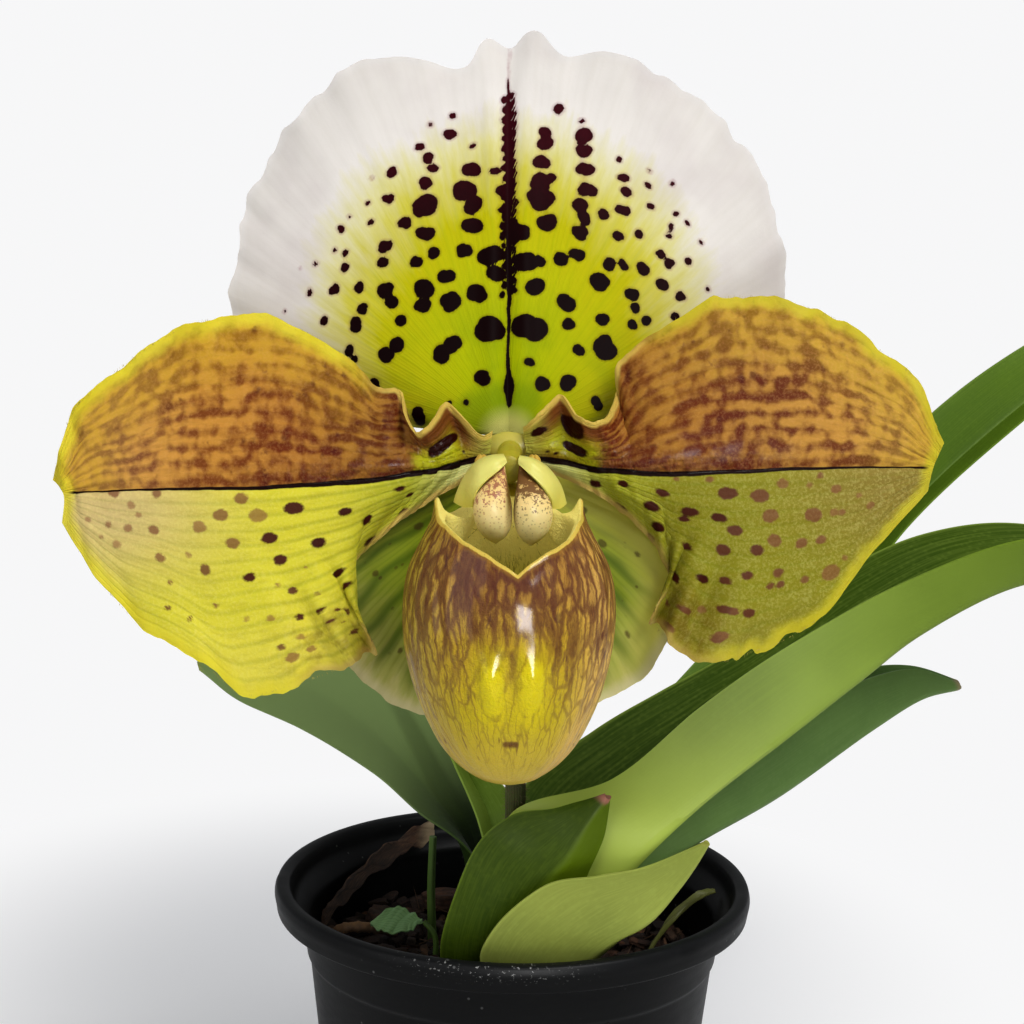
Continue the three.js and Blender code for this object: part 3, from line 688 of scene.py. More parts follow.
def pot_material():
    material, n, wire = new_material("pot_black_plastic", Specular_IOR_Level=0.16)
    spot = n.object()
    base = list(colours().pot_black) + [1]
    x, y, z = n.split(spot)
    around = n.math("ARCTAN2", y, x)
    streak = n.noise(n.vector(around * 3, z * 240), 3, 3)
    dust = n.group("Dust", Vector=spot, Size=95, Amount=0.02)
    fine = n.noise(spot, 2600, 3, 0.6)
    rim = n.step(z, 0.0735, 0.0758)
    scuff_line = n.noise(n.vector(around * 26, z * 900), 2.2, 3, 0.7)
    front = n.step(abs(around + 1.66), 0.5, 0.05)
    scuff = n.step(scuff_line, 0.6, 0.68) * n.step(z, 0.0722, 0.0745) * front
    flecks = n.step(n.cells(spot, 420), 0.13, 0.05) * n.step(n.noise(spot, 60), 0.5, 0.62)
    mark = n.math("MAXIMUM", scuff, flecks * 0.35)
    grey = n.mix(streak * 0.3, base, (18, 19, 20))
    # painted highlight: the top of the lip is lightened to stand for the light it catches
    grey = n.mix(rim * 0.3, grey, (44, 45, 47))
    grey = n.mix(dust * 0.2, grey, (90, 84, 78))
    grey = n.mix(mark * 0.75, grey, (190, 190, 188))
    rough = 0.34 + (streak * 0.14 + (dust + mark) * 0.25)
    height = fine * 0.3 + (streak * 0.7 + mark * -0.3)
    wire(Base_Color=grey, Roughness=rough, Normal=n.bump(height, 0.05))
    return material


# --- medium and what lies on it

MEDIUM_TOP = 63
GROUND = MEDIUM_TOP + 0.4
CROWN_CENTRE = (2, -21)
BARK_REACH, CHIP_REACH, ROOTLET_REACH = 36.5, 34.5, 33
BED_ROWS = [0, 0.82, 0.86, 0.93, 1]
BED_RADIUS = [0, 34.4, 34.1, 27.8, 0]
BED_HEIGHT = [61.2, 59.5, 1.9, 1.9]


class Bark:
    """The lie of the bark pieces that make up the medium's surface."""

    def __init__(self, seed=7, count=430):
        dice = np.random.default_rng(seed)
        radius = BARK_REACH * np.sqrt(dice.random(count))
        turn = dice.random(count) * 2 * pi
        self.x = radius * np.cos(turn)
        self.y = radius * np.sin(turn)
        self.level = dice.normal(0, 0.75, count)
        self.tilt = dice.normal(0, 0.16, (count, 2))
        self.long = dice.uniform(0.75, 1.7, count)
        self.heading = dice.random(count) * pi

    def height(self, x, y):
        """The surface's height over the level of the medium, and each place's own bark piece."""
        best = np.full(len(x), 1e9)
        second = np.full(len(x), 1e9)
        owner = np.zeros(len(x), int)
        for i in range(len(self.x)):
            dx, dy = x - self.x[i], y - self.y[i]
            c, s = cos(self.heading[i]), sin(self.heading[i])
            gap = np.hypot((dx * c + dy * s) / self.long[i], (dy * c - dx * s) * self.long[i])
            closer = gap < best
            second = np.where(closer, best, np.minimum(second, gap))
            owner = np.where(closer, i, owner)
            best = np.where(closer, gap, best)
        dx, dy = x - self.x[owner], y - self.y[owner]
        slope = self.tilt[owner, 0] * dx + self.tilt[owner, 1] * dy
        crack = 1 - smooth(0, 0.7, second - best)
        return self.level[owner] + slope - 1.5 * crack, owner


def medium_level(x, y):
    fall = np.clip((np.hypot(x, y) / wall_inner(MEDIUM_TOP) - 0.6) / 0.4, 0, 1)
    return MEDIUM_TOP - 1.5 * fall


class ORCHID_OT_medium(bpy.types.Operator):
    """Fill the pot with chunky bark medium and scatter loose chips and rootlets over it"""
    bl_idname = "orchid.medium"
    bl_label = "Potting medium"

    def execute(self, context):
        bark = Bark()
        piece, u, v = grid("medium_bed", columns=240, rows=140)
        turn = 2 * pi * u
        radius = np.interp(v, BED_ROWS, BED_RADIUS)
        x, y = radius * np.cos(turn), radius * np.sin(turn)
        height, owner = bark.height(x, y)
        top = medium_level(x, y) + np.clip(height, -2.4, 1.6) - 0.5
        z = np.where(v <= BED_ROWS[1], top, np.interp(v, BED_ROWS[1:], BED_HEIGHT))
        place(piece, np.stack([x, y, z], 1))
        record(piece, "own", np.random.default_rng(3).random(500)[owner])
        weld(piece)
        material = bark_material("medium_bark", dusty=0.55)
        finish_piece(piece, material, "potting_mix", "potting_medium", angle=50)
        self.chips()
        self.rootlets()
        return {"FINISHED"}

    def chips(self):
        """Loose chips of bark lying every way up."""
        count = sizes().chip_count
        clean_slate()
        bpy.ops.mesh.primitive_cube_add(size=1)
        piece = named("loose_chips")
        bpy.ops.object.mode_set(mode="EDIT")
        bpy.ops.mesh.select_all(action="SELECT")
        bpy.ops.mesh.bevel(offset=0.14, segments=1, affect="EDGES")
        bpy.ops.object.mode_set(mode="OBJECT")
        shape = copies(piece, count)
        dice = np.random.default_rng(21)
        points = []
        for _ in range(count):
            size = np.array([dice.uniform(1.6, 5.2), dice.uniform(1, 3), dice.uniform(0.5, 1.3)])
            turn = Matrix.Rotation(dice.uniform(0, 6.3), 3, "Z")
            turn = turn @ Matrix.Rotation(dice.normal(0, 0.35), 3, "X")
            turn = turn @ Matrix.Rotation(dice.normal(0, 0.25), 3, "Y")
            radius = CHIP_REACH * sqrt(dice.random())
            angle = dice.uniform(0, 2 * pi)
            x, y = radius * cos(angle), radius * sin(angle)
            rough = shape + dice.normal(0, 0.06, shape.shape)
            level = float(medium_level(x, y)) + dice.uniform(-0.3, 0.9)
            points.append((rough * size) @ np.array(turn).T + (x, y, level))
        place(piece, np.concatenate(points))
        record(piece, "own", np.repeat(dice.random(count), len(shape)))
        finish_piece(piece, bark_material("chip_bark", dusty=0.8), "bark", angle=30)

    def rootlets(self):
        """Thin dry roots and fibres strewn over the bark."""
        dice = np.random.default_rng(33)
        count = ROOTLET_COUNT
        radius = ROOTLET_REACH * np.sqrt(dice.random(count))
        angle = dice.random(count) * 2 * pi
        roots = np.stack([radius * np.cos(angle), radius * np.sin(angle)], 1)
        level = medium_level(roots[:, 0], roots[:, 1]) + dice.uniform(0.2, 1, count)
        roots = np.column_stack([roots, level])
        heading = dice.random(count) * 2 * pi
        ahead = np.stack([np.cos(heading), np.sin(heading), dice.normal(0, 0.22, count)], 1)
        piece = hairs("rootlets", roots, ahead, dice.uniform(3, 9, count), root_radius=0.14, seed=5)
        finish_piece(piece, plain_fibre_material("rootlet_fibre", (108, 78, 50)), "root")


def bark_material(name, dusty):
    """Dark bark: each piece its own brown, with fibres, pits and pale dust in patches."""
    material, n, wire = new_material(name)
    spot = n.object()
    own = n.number("own")
    shifted = n.add("VectorMath", {0: spot, 1: n.vector(own, own * 0.3)}, operation="ADD")
    fibre = n.group("Fibre", Vector=shifted, Stretch=3.5, Size=420)
    pits = n.noise(spot, 900, 4, 0.7)
    brown = n.ramp(own, (0, (34, 22, 16)), (0.3, (66, 42, 28)), (0.55, (44, 30, 22)), (0.75, (96, 62, 40)),
        (0.93, (58, 42, 32)), (1, (128, 92, 62)))
    brown = n.mix(n.step(fibre, 0.38, 0.66), n.mix(0.6, brown, (18, 12, 9)), brown)
    dust = n.group("Dust", Vector=spot, Size=260, Amount=0.2)
    brown = n.mix(dust * (0.45 * dusty), brown, (150, 122, 92))
    height = fibre * 0.8 + pits * 0.5
    wire(Base_Color=brown, Roughness=0.72 + pits * 0.3, Normal=n.bump(height, 0.35))
    return material


def plain_fibre_material(name, colour):
    material, n, wire = new_material(name)
    spot = n.object()
    fine = n.group("Fibre", Vector=spot, Stretch=0.4, Size=700)
    dark = n.mix(0.55, colour, (0.01, 0.006, 0.004, 1))
    wire(Base_Color=n.mix(fine, dark, colour), Roughness=0.6 + fine * 0.3, Normal=n.bump(fine, 0.15))
    return material


CHIPS = [
    (-13, 17, (4.2, 3, 2), 0.4), (-22, -10, (4, 2.6, 1.6), 1.9), (-5, 22, (5, 3.4, 2.2), 2.6),
    (22, 10, (4.4, 3.2, 2), 1.2), (27, -13, (3.2, 2.2, 1.6), 0.1), (10, 24, (4.6, 3, 2), 0.9),
    (-24, 9, (3.8, 3, 1.8), 2.2),
]


class ORCHID_OT_chips(bpy.types.Operator):
    """Break seven large bark chips into flaky layers where they rest on the medium"""
    bl_idname = "orchid.bark_chips"
    bl_label = "Large bark chips"

    def execute(self, context):
        material = bark_material("large_chip_bark", dusty=1)
        for i, (x, y, size, turn) in enumerate(CHIPS):
            clean_slate()
            bpy.ops.mesh.primitive_ico_sphere_add(subdivisions=4, radius=1)
            piece = named(f"bark_lump_{i + 1}")
            co = corners(piece)
            dice = np.random.default_rng(50 + i)
            boxy = co / np.maximum(np.abs(co).max(axis=1), 0.72)[:, None] * 0.86
            slab = boxy * size
            for _ in range(7):
                facing = dice.normal(size=3)
                facing /= np.linalg.norm(facing)
                depth = slab @ facing
                cut = np.quantile(depth, dice.uniform(0.86, 0.97))
                slab -= np.maximum(depth - cut, 0)[:, None] * facing
            grain = 0.16 * waves(slab[:, 1] * 4 + 0.4 * slab[:, 0], 60 + i, 4)
            layers = 0.14 * np.sign(np.sin(slab[:, 2] * 7 + 0.6 * slab[:, 0]))
            slab[:, :2] *= 1 + 0.05 * layers[:, None] * 3
            slab[:, 2] += grain * 0.7
            c, s = cos(turn), sin(turn)
            px = slab[:, 0] * c - slab[:, 1] * s
            py = slab[:, 0] * s + slab[:, 1] * c
            rest = float(medium_level(x, y)) + 0.1 - slab[:, 2].min()
            place(piece, np.stack([px + x, py + y, slab[:, 2] + rest], 1))
            record(piece, "own", np.full(len(slab), dice.uniform(0.2, 1)))
            finish_piece(piece, material, "bark", f"bark_chip_{i + 1}", angle=40)
        return {"FINISHED"}


class ORCHID_OT_litter(bpy.types.Operator):
    """Grow the small sprout and lay the dry grass, dead leaf strip and root over the medium"""
    bl_idname = "orchid.litter"
    bl_label = "Sprout and litter"

    def execute(self, context):
        green = sprout_material("sprout_green", (112, 146, 62), (84, 116, 44))
        stalk = rail([(-14.3, 3, 61.5), (-14.3, 3, GROUND), (-14.6, 3.2, 72), (-14.4, 3, 82)])

        def stalk_girth(turn, t):
            return 0.85 - 0.2 * t + 0.05 * np.cos(5 * turn)

        piece = round_rod("stalk", stalk, stalk_girth, columns=20, rows=60)
        finish_piece(piece, green, "sprout", "sprout_stalk")
        petiole = rail([(-13.2, -8, 62), (-13.2, -8, GROUND), (-13.4, -7.5, 67.5), (-15.4, -7, 69.9)])
        piece = round_rod("petiole", petiole, lambda a, t: 0.55 - 0.1 * t + 0 * a, columns=16, rows=40)
        finish_piece(piece, green, "sprout", "sprout_petiole")

        rails = (
            [(-15.6, -7.2, 69.9), (-17.6, -8.9, 68.9), (-21.5, -9.1, 68.4), (-24.4, -7.2, 68.8)],
            [(-15.6, -7, 69.9), (-18.5, -6.6, 69.3), (-21.5, -6, 69.4), (-24.7, -6.6, 69)],
            [(-15.6, -6.8, 69.9), (-17.6, -4.3, 70.5), (-21, -3.1, 71), (-24.3, -5.9, 69.4)],
        )
        leaf = sprout_material("sprout_leaf_green", (150, 190, 128), (98, 138, 84))
        self.strip("seedling_leaf", rails, leaf, "sprout", "sprout_leaf",
                   softness=0.25, rows=80, columns=48, thickness=0.5, crumple=0.25)

        rails = (
            [(24, -3, 62.6), (24, -3, GROUND), (27.5, -1.5, 68.5), (33, 1.5, 72.2), (36.4, 4, 72.6)],
            [(24.6, -2.6, 62.6), (24.6, -2.6, GROUND), (28.3, -0.9, 68.1), (33.4, 2.2, 71.7),
             (36.6, 4.5, 72.3)],
            [(25, -2, 62.6), (25, -2, GROUND), (28, 0.2, 69), (32.8, 3, 72.5), (36.2, 5, 72.9)],
        )
        grass = sprout_material("dry_grass_olive", (118, 122, 58), (74, 74, 36))
        self.strip("grass_strip", rails, grass, "dry_grass", "grass_blade",
                   softness=0.2, rows=90, columns=14, thickness=0.5, crumple=0.15)

        rails = (
            [(-34, 3, 64.6), (-31, 10, 66.5), (-26, 19, 69), (-20, 25, 71.5), (-15, 28, 73.5)],
            [(-34, 4.5, 66.6), (-31.3, 11.6, 68.4), (-26.6, 20.4, 71), (-20.6, 26.6, 73.4),
             (-15.2, 29.6, 75.4)],
            [(-33.2, 7, 67.2), (-30.2, 13.6, 69.6), (-25.6, 21.8, 72.4), (-20, 27.8, 74.6),
             (-14.6, 30.8, 76.6)],
        )
        self.strip("dead_leaf", rails, dead_leaf_material(), "dried_leaf", "dried_leaf",
                   softness=0.3, rows=170, columns=44, thickness=0.7, crumple=0.55)

        line = rail([(-33, -2, 64.4), (-29.5, -3, 66.8), (-25, -1.5, 66.4), (-21, 2, 64.4)])

        def girth(turn, t):
            return 0.95 + 0.12 * waves(t * 30, 8) + 0.06 * waves(t * 60 + 3 * np.cos(turn), 9)

        piece = round_rod("root_piece", line, girth, columns=24, rows=110)
        material = plain_fibre_material("root_skin", (150, 112, 72))
        finish_piece(piece, material, "root", "root_strand")
        return {"FINISHED"}

    def strip(self, name, rails, material, slot, node, *, softness, rows, columns, thickness, crumple):
        piece, u, v = grid(name, columns, rows)
        points = folded(rails, softness)(u, v)
        points[:, 2] += crumple * waves(v * 22 + 5 * u, 12) * (0.3 + np.abs(2 * u - 1))
        points[:, 1] += crumple * 0.6 * waves(v * 31 + 9 * u, 13)
        place(piece, points)
        thicken(piece, thickness, 0.35 + 0.65 * (1 - np.abs(2 * u - 1) ** 3))
        finish_piece(piece, material, slot, node)


def sprout_material(name, light, dark):
    material, n, wire = new_material(name)
    u, v = n.uv()
    veins = n.group("Fine veins", Across=u, Along=v, Count=9, Wander=0.5, Width=0.2)
    cloud = n.noise(n.object(), 260, 4)
    green = n.mix((veins * 0.5 + cloud) * 0.7, light, dark)
    wire(Base_Color=green, Roughness=0.42 + cloud * 0.3, Normal=n.bump(cloud, 0.15))
    return material


def dead_leaf_material():
    material, n, wire = new_material("dead_leaf_brown")
    u, v = n.uv()
    fibre = n.noise(n.vector(u * 9, v * 2.5), 6, 5, 0.7)
    cloud = n.noise(n.object(), 160, 4)
    brown = n.ramp(fibre, (0.3, (42, 28, 20)), (0.5, (92, 62, 42)), (0.72, (140, 104, 74)))
    end = n.step(v, 0.82, 0.97)
    brown = n.mix(end * 0.75, brown, (196, 176, 142))
    brown = n.mix(n.step(cloud, 0.55, 0.4), brown, n.mix(0.5, brown, (20, 14, 10)))
    wire(Base_Color=brown, Roughness=0.6 + fibre * 0.35, Normal=n.bump(fibre, 0.5))
    return material


# --- crown and leaves

LEAF_START = 67.8
CROWN_RADII = (11.3, 12.8)
# how far up the section, the share of the radii, the height
CROWN_SECTION = [
    (0, 0, 62.4), (0.25, 0.98, 62.4), (0.34, 1.02, 63.6), (0.5, 0.98, 65.4),
    (0.68, 0.9, 66.9), (0.78, 0.8, 67.4), (0.9, 0.45, 67.2), (1, 0, 67),
]


class ORCHID_OT_crown(bpy.types.Operator):
    """Build the crown of clasping leaf bases that the leaves rise from"""
    bl_idname = "orchid.crown"
    bl_label = "Crown"

    def execute(self, context):
        piece, u, v = grid("crown_base", columns=160, rows=70)
        turn = 2 * pi * u
        at, spreads, heights = np.array(CROWN_SECTION).T
        spread, z = np.interp(v, at, spreads), np.interp(v, at, heights)
        lobes = 1 + 0.05 * waves(turn * 3, 14, 2) + 0.022 * np.sin(turn * 34 + 2 * v)
        z = z + 0.5 * waves(turn * 4 + spread * 6, 15) * smooth(0.5, 0.75, v) * (1 - smooth(0.8, 1, v))
        x = CROWN_CENTRE[0] + CROWN_RADII[0] * spread * lobes * np.cos(turn)
        y = CROWN_CENTRE[1] + CROWN_RADII[1] * spread * lobes * np.sin(turn)
        place(piece, np.stack([x, y, z], 1))
        weld(piece)
        material, n, wire = new_material("crown_tissue_pale")
        a, b = n.uv()
        fibre = n.noise(n.vector(a * 60, b * 4), 2, 4, 0.65)
        tone = n.ramp(fibre, (0.3, (92, 74, 40)), (0.55, (142, 138, 74)), (0.75, (176, 176, 104)))
        cloud = n.noise(n.object(), 180, 3)
        tone = n.mix(n.step(cloud, 0.5, 0.65), tone, (84, 60, 38))
        wire(Base_Color=tone, Roughness=0.5 + fibre * 0.3, Normal=n.bump(fibre, 0.35))
        finish_piece(piece, material, "crown_tissue", "crown")
        return {"FINISHED"}


LEAVES = {
    "leaf_front_right": {
        "near": [
            (0, -25, LEAF_START), (-3.5, -29, 83), (-0.5, -31.5, 97.5), (15.6, -29, 102.7),
            (29.7, -25, 114.1), (46.2, -20, 124.8), (62.9, -16, 133.4), (84, -12, 140.4), (105, -6, 139),
            (119, 5, 130)],
        "keel": [
            (6.5, -27, LEAF_START), (12, -30.5, 79), (20.2, -33, 90.8), (29.8, -30, 99.5),
            (44.6, -24, 109.8), (56.7, -18, 117.8), (67.3, -13, 124.7), (86.2, -5, 132.1), (106, 2, 132),
            (120, 7, 128)],
        "far": [
            (4, -18, LEAF_START), (2.2, -14, 82), (0.8, -12, 94.5), (13.4, -8, 105.2), (24.7, -5, 111.4),
            (38, -2, 118.5), (52, 3, 129), (71, 7, 138), (92, 11, 139), (120.5, 8.5, 129.5)],
        "tones": ((146, 166, 78), (66, 90, 6), (150, 172, 76)),
        "rows": 220,
    },
    "leaf_short_sheath": {
        "near": [
            (-9.5, -29.5, LEAF_START), (-11.6, -33, 74.1), (-9.1, -35, 85.8), (-5.5, -35, 94.2),
            (-0.5, -34, 98), (7, -34.5, 99.8), (14.2, -34.9, 102.3)],
        "keel": [
            (1.5, -29.8, LEAF_START), (1, -32.5, 76), (2.5, -34.6, 83), (5.5, -36, 88.3),
            (8.5, -36.5, 92.3), (11.5, -36, 97.5), (14.4, -35.2, 101.7)],
        "far": [
            (5, -29.3, LEAF_START), (8.6, -31.2, 76), (10.5, -33.3, 84), (12.3, -34.5, 90),
            (14.2, -34.5, 95), (14.8, -34.3, 99), (15, -34.2, 101.7)],
        # the sheath's dark near half carries painted shade
        "tones": ((66, 86, 4), (100, 122, 8), (116, 138, 40)),
        "rows": 130,
    },
    "leaf_basal_pale": {
        "near": [
            (-2, -33, LEAF_START), (-5.1, -36, 74.8), (-2.5, -38, 81), (5, -38.5, 88.3), (13.7, -38, 89.8),
            (21, -36.5, 90.8), (30.6, -30.4, 93.2)],
        "keel": [
            (7, -32.2, LEAF_START), (11.5, -34.6, 74), (15.5, -35.6, 78), (21, -36, 81.5),
            (25, -34.7, 85.5), (28.5, -32.5, 89.5), (31, -30, 92.7)],
        "far": [
            (10.3, -27.6, LEAF_START), (15.4, -29.5, 74), (20.5, -31, 80), (24, -31.5, 84),
            (26.5, -31.5, 87.5), (29, -30.5, 90.5), (31.4, -29.4, 93)],
        "tones": ((150, 160, 76), (150, 160, 70), (176, 186, 96)),
        "rows": 130,
    },
    "leaf_low_right": {
        "near": [
            (9.5, -23, LEAF_START), (12.5, -22, 76), (19, -18, 88), (28, -10, 95), (43, 1, 101),
            (62, 17, 108), (75, 28, 108.5), (85.3, 37, 104.2)],
        "keel": [
            (11, -20, LEAF_START), (16, -16, 75), (22.5, -13, 81.8), (32.9, -6, 85.9), (47, 5, 90.4),
            (66.4, 20, 99.3), (77.1, 29, 103), (86, 37.3, 103)],
        "far": [
            (10.5, -14, LEAF_START), (15, -9, 74), (21.5, 0, 80), (29, 8, 85.5), (42.7, 19, 95),
            (61.9, 31, 106), (76, 37, 107.3), (85.7, 38.8, 103.9)],
        "tones": ((108, 138, 72), (84, 116, 50), (126, 154, 90)),
        "rows": 170,
    },
    "leaf_high_right": {
        "near": [
            (7, -10.5, LEAF_START), (12, -5, 84), (22, 2, 92), (38, 11, 101.5), (57, 22, 116),
            (74, 34, 135), (97.6, 46, 154.4), (114, 54, 166), (125, 62, 176)],
        "keel": [
            (5, -9, LEAF_START), (10, -3.5, 83), (20, 4, 91), (35, 15, 100.5), (56, 28, 118.5),
            (79, 41.5, 141.5), (100, 51.5, 158), (116, 58, 168), (125.2, 63, 176.3)],
        "far": [
            (1, -9.5, LEAF_START), (4.6, -5, 87.2), (15, 4, 97), (28.4, 15, 107.2), (50, 29, 128),
            (80, 45, 156), (98.7, 54, 168.3), (114, 60, 175), (124, 64, 177.5)],
        "tones": ((88, 114, 22), (88, 116, 24), (118, 144, 54)),
        "rows": 190,
    },
    "leaf_left": {
        "near": [
            (-5, -19.5, LEAF_START), (-6.5, -18, 85), (-16.2, -8, 89.5), (-25.7, 3, 94.1),
            (-39.6, 16, 97.9), (-52, 25, 100.3), (-60.6, 31.4, 104.8)],
        "keel": [
            (-7.5, -14.5, LEAF_START), (-8, -10, 83), (-15, 1, 90.5), (-25.5, 12, 98), (-40, 24, 104),
            (-52.5, 30, 105.5), (-61, 32.6, 105.6)],
        "far": [
            (-5, -10, LEAF_START), (-5, -5, 85.1), (-10.5, 8, 94.5), (-21.5, 20, 104.5), (-36, 28, 109.5),
            (-51, 32, 110.7), (-60.4, 33.2, 106.6)],
        # the left leaf's very dark greens carry the painted shadow of the flower
        "tones": ((34, 54, 6), (26, 42, 2), (66, 90, 34)),
        "rows": 170,
    },
    "leaf_inner_left": {
        "near": [
            (-3.2, -14.5, LEAF_START), (-3.6, -14.5, 80), (-5.8, -13.5, 89.3), (-10.6, -3, 97),
            (-16, 8, 106), (-20, 15, 113)],
        "keel": [
            (-1.8, -11.5, LEAF_START), (-2.4, -11.5, 80), (-4.2, -10.5, 89.5), (-8.8, -0.5, 95.8),
            (-14.8, 9.5, 105.5), (-20, 15.8, 112.8)],
        "far": [
            (0.5, -12, LEAF_START), (1.4, -12.6, 82), (1, -12.4, 92), (-5, -4, 97.5), (-12.5, 7, 108),
            (-19.4, 15.5, 113.8)],
        "tones": ((150, 176, 70), (118, 146, 46), (160, 186, 88)),
        "rows": 130,
    },
}


def sunk(points):
    """A leaf's rail, carried on down into the crown."""
    x, y, _ = points[0]
    return [(x + 0.12 * (CROWN_CENTRE[0] - x), y + 0.12 * (CROWN_CENTRE[1] - y), 65.2)] + list(points)


class ORCHID_OT_leaves(bpy.types.Operator):
    """Raise the keeled strap leaves from the crown, each with its own greens and painted light and shade"""
    bl_idname = "orchid.leaves"
    bl_label = "Leaves"

    def execute(self, context):
        for i, (node, leaf) in enumerate(LEAVES.items()):
            piece, u, v = grid(node.replace("leaf", "blade"), columns=30, rows=leaf["rows"])
            rails = [sunk(leaf[key]) for key in ("near", "keel", "far")]
            points = folded(rails, 0.07)(u, v)
            side = np.abs(2 * u - 1)
            points[:, 2] += 0.22 * waves(v * 14 + u * 3, 70 + i) * side
            points[:, 1] += 0.3 * waves(v * 11 + u * 2, 80 + i) * side * (1 - smooth(0.9, 1, v))
            place(piece, points)
            slot = "leaf_pale" if node == "leaf_basal_pale" else "leaf"
            thicken(piece, 1.15, 0.3 + 0.7 * (1 - side**4))
            finish_piece(piece, leaf_material(node, *leaf["tones"]), slot, node, angle=50)
        return {"FINISHED"}


def leaf_material(node, near, far, edge):
    """Satin leaf: a tone for each half, partly its own green and partly painted light and shade, faint
    lengthwise veins, a pale keel and margin partly painted as highlights, and painted light, shade and
    shadow on some leaves.
    """
    material, n, wire = new_material(node + "_skin", Specular_IOR_Level=0.14)
    spot = n.object()
    u, v = n.uv()
    heights = n.group("Fine veins", output=1, Across=u, Along=v, Count=52, Wander=0.3, Width=0.3)
    cloud = n.noise(spot, 55, 2)
    fine = n.noise(n.vector(u * 46, v * 6), 2, 3)
    mottle = n.cells(spot, 900)
    # each half's tone is partly its own green and partly painted light and shade for how that half faces
    # the lamps
    tone = n.mix(n.step(u, 0.46, 0.54), near, far)
    deep = n.mix(0.5, tone, (0.012, 0.045, 0.008, 1))
    tone = n.mix(n.step(cloud, 0.35, 0.7) * 0.4, tone, deep)
    tone = n.mix(n.step(fine, 0.35, 0.75) * 0.22, tone, edge)
    tone = n.mix(n.step(mottle, 0.5, 0.1) * 0.1, tone, edge)
    # the paler keel and margin are partly paler tissue and partly painted highlights, the light these edges
    # catch
    middle = abs(u - 0.5)
    tone = n.mix(n.step(middle, 0.045, 0) * 0.3, tone, edge)
    tone = n.mix(n.step(middle, 0.482, 0.499) * 0.6, tone, edge)
    if node == "leaf_left":
        # painted shadow: dark towards the base where the flower shades the leaf, lighter towards the tip
        tone = n.mix(n.step(v, 0.3, 0.56, 0, 0.92), tone, (144, 166, 106))
    if node == "leaf_front_right":
        near_half = n.step(u, 0.54, 0.46)
        # painted light and shade on the near half: lighter towards the base where it is lit, darker towards
        # the end where it curves away
        tone = n.mix(near_half * n.step(v, 0.56, 0.26), tone, (190, 208, 96))
        tone = n.mix(near_half * n.step(v, 0.5, 0.86, 0, 0.8), tone, (104, 130, 18))
    if node == "leaf_short_sheath":
        # painted shade: the near half darkens towards the base
        tone = n.mix(n.step(v, 0.5, 0.05) * n.step(u, 0.62, 0.3, 0.2, 0.7), tone, (40, 58, 2))
        tone = n.mix(n.step(v, 0.955, 0.99), tone, (176, 122, 104))
    elif node == "leaf_low_right":
        tone = n.mix(n.step(v, 0.975, 1) * 0.8, tone, (160, 140, 112))
    else:
        tone = n.mix(n.step(v, 0.975, 1) * 0.45, tone, (170, 164, 84))
    tone = n.mix(n.step(v, 0.1, 0) * 0.5, tone, (170, 176, 96))
    rough = 0.34 + (cloud * 0.12 + mottle * 0.1)
    height = heights * 0.05 + (mottle * 0.12 + cloud * 0.6)
    wire(Base_Color=tone, Roughness=rough, Normal=n.bump(height, 0.09))
    return material


# --- flower stem, ovary and bract

SCAPE = [(0, -20, 64.5), (0, -20, LEAF_START), (0, -24, 85), (0, -28, 101), (-0.6, -33, 118),
         (-1.3, -37, 132), (-1.5, -39.3, 141.2)]
FUZZ_RADIUS = 0.045
OVARY = [(-1.5, -39.4, 141), (-1.8, -43, 151), (-2.1, -50.5, 158.2), (-2.2, -59.2, 159.8)]


def ovary_radius(t):
    return through([(0, 1.8), (0.35, 2.3), (0.8, 2.8), (1, 2.55)])(t)


def stand_off(path, radius, t, turn, lean):
    """Roots and outward directions for hairs round a path."""
    side, back = across(path, t)
    out = np.cos(turn)[:, None] * side + np.sin(turn)[:, None] * back
    ahead = path(np.minimum(t + 1e-3, 1)) - path(np.maximum(t - 1e-3, 0))
    ahead /= np.linalg.norm(ahead, axis=1)[:, None]
    return path(t) + out * (radius * 0.98)[:, None], out + lean[:, None] * ahead


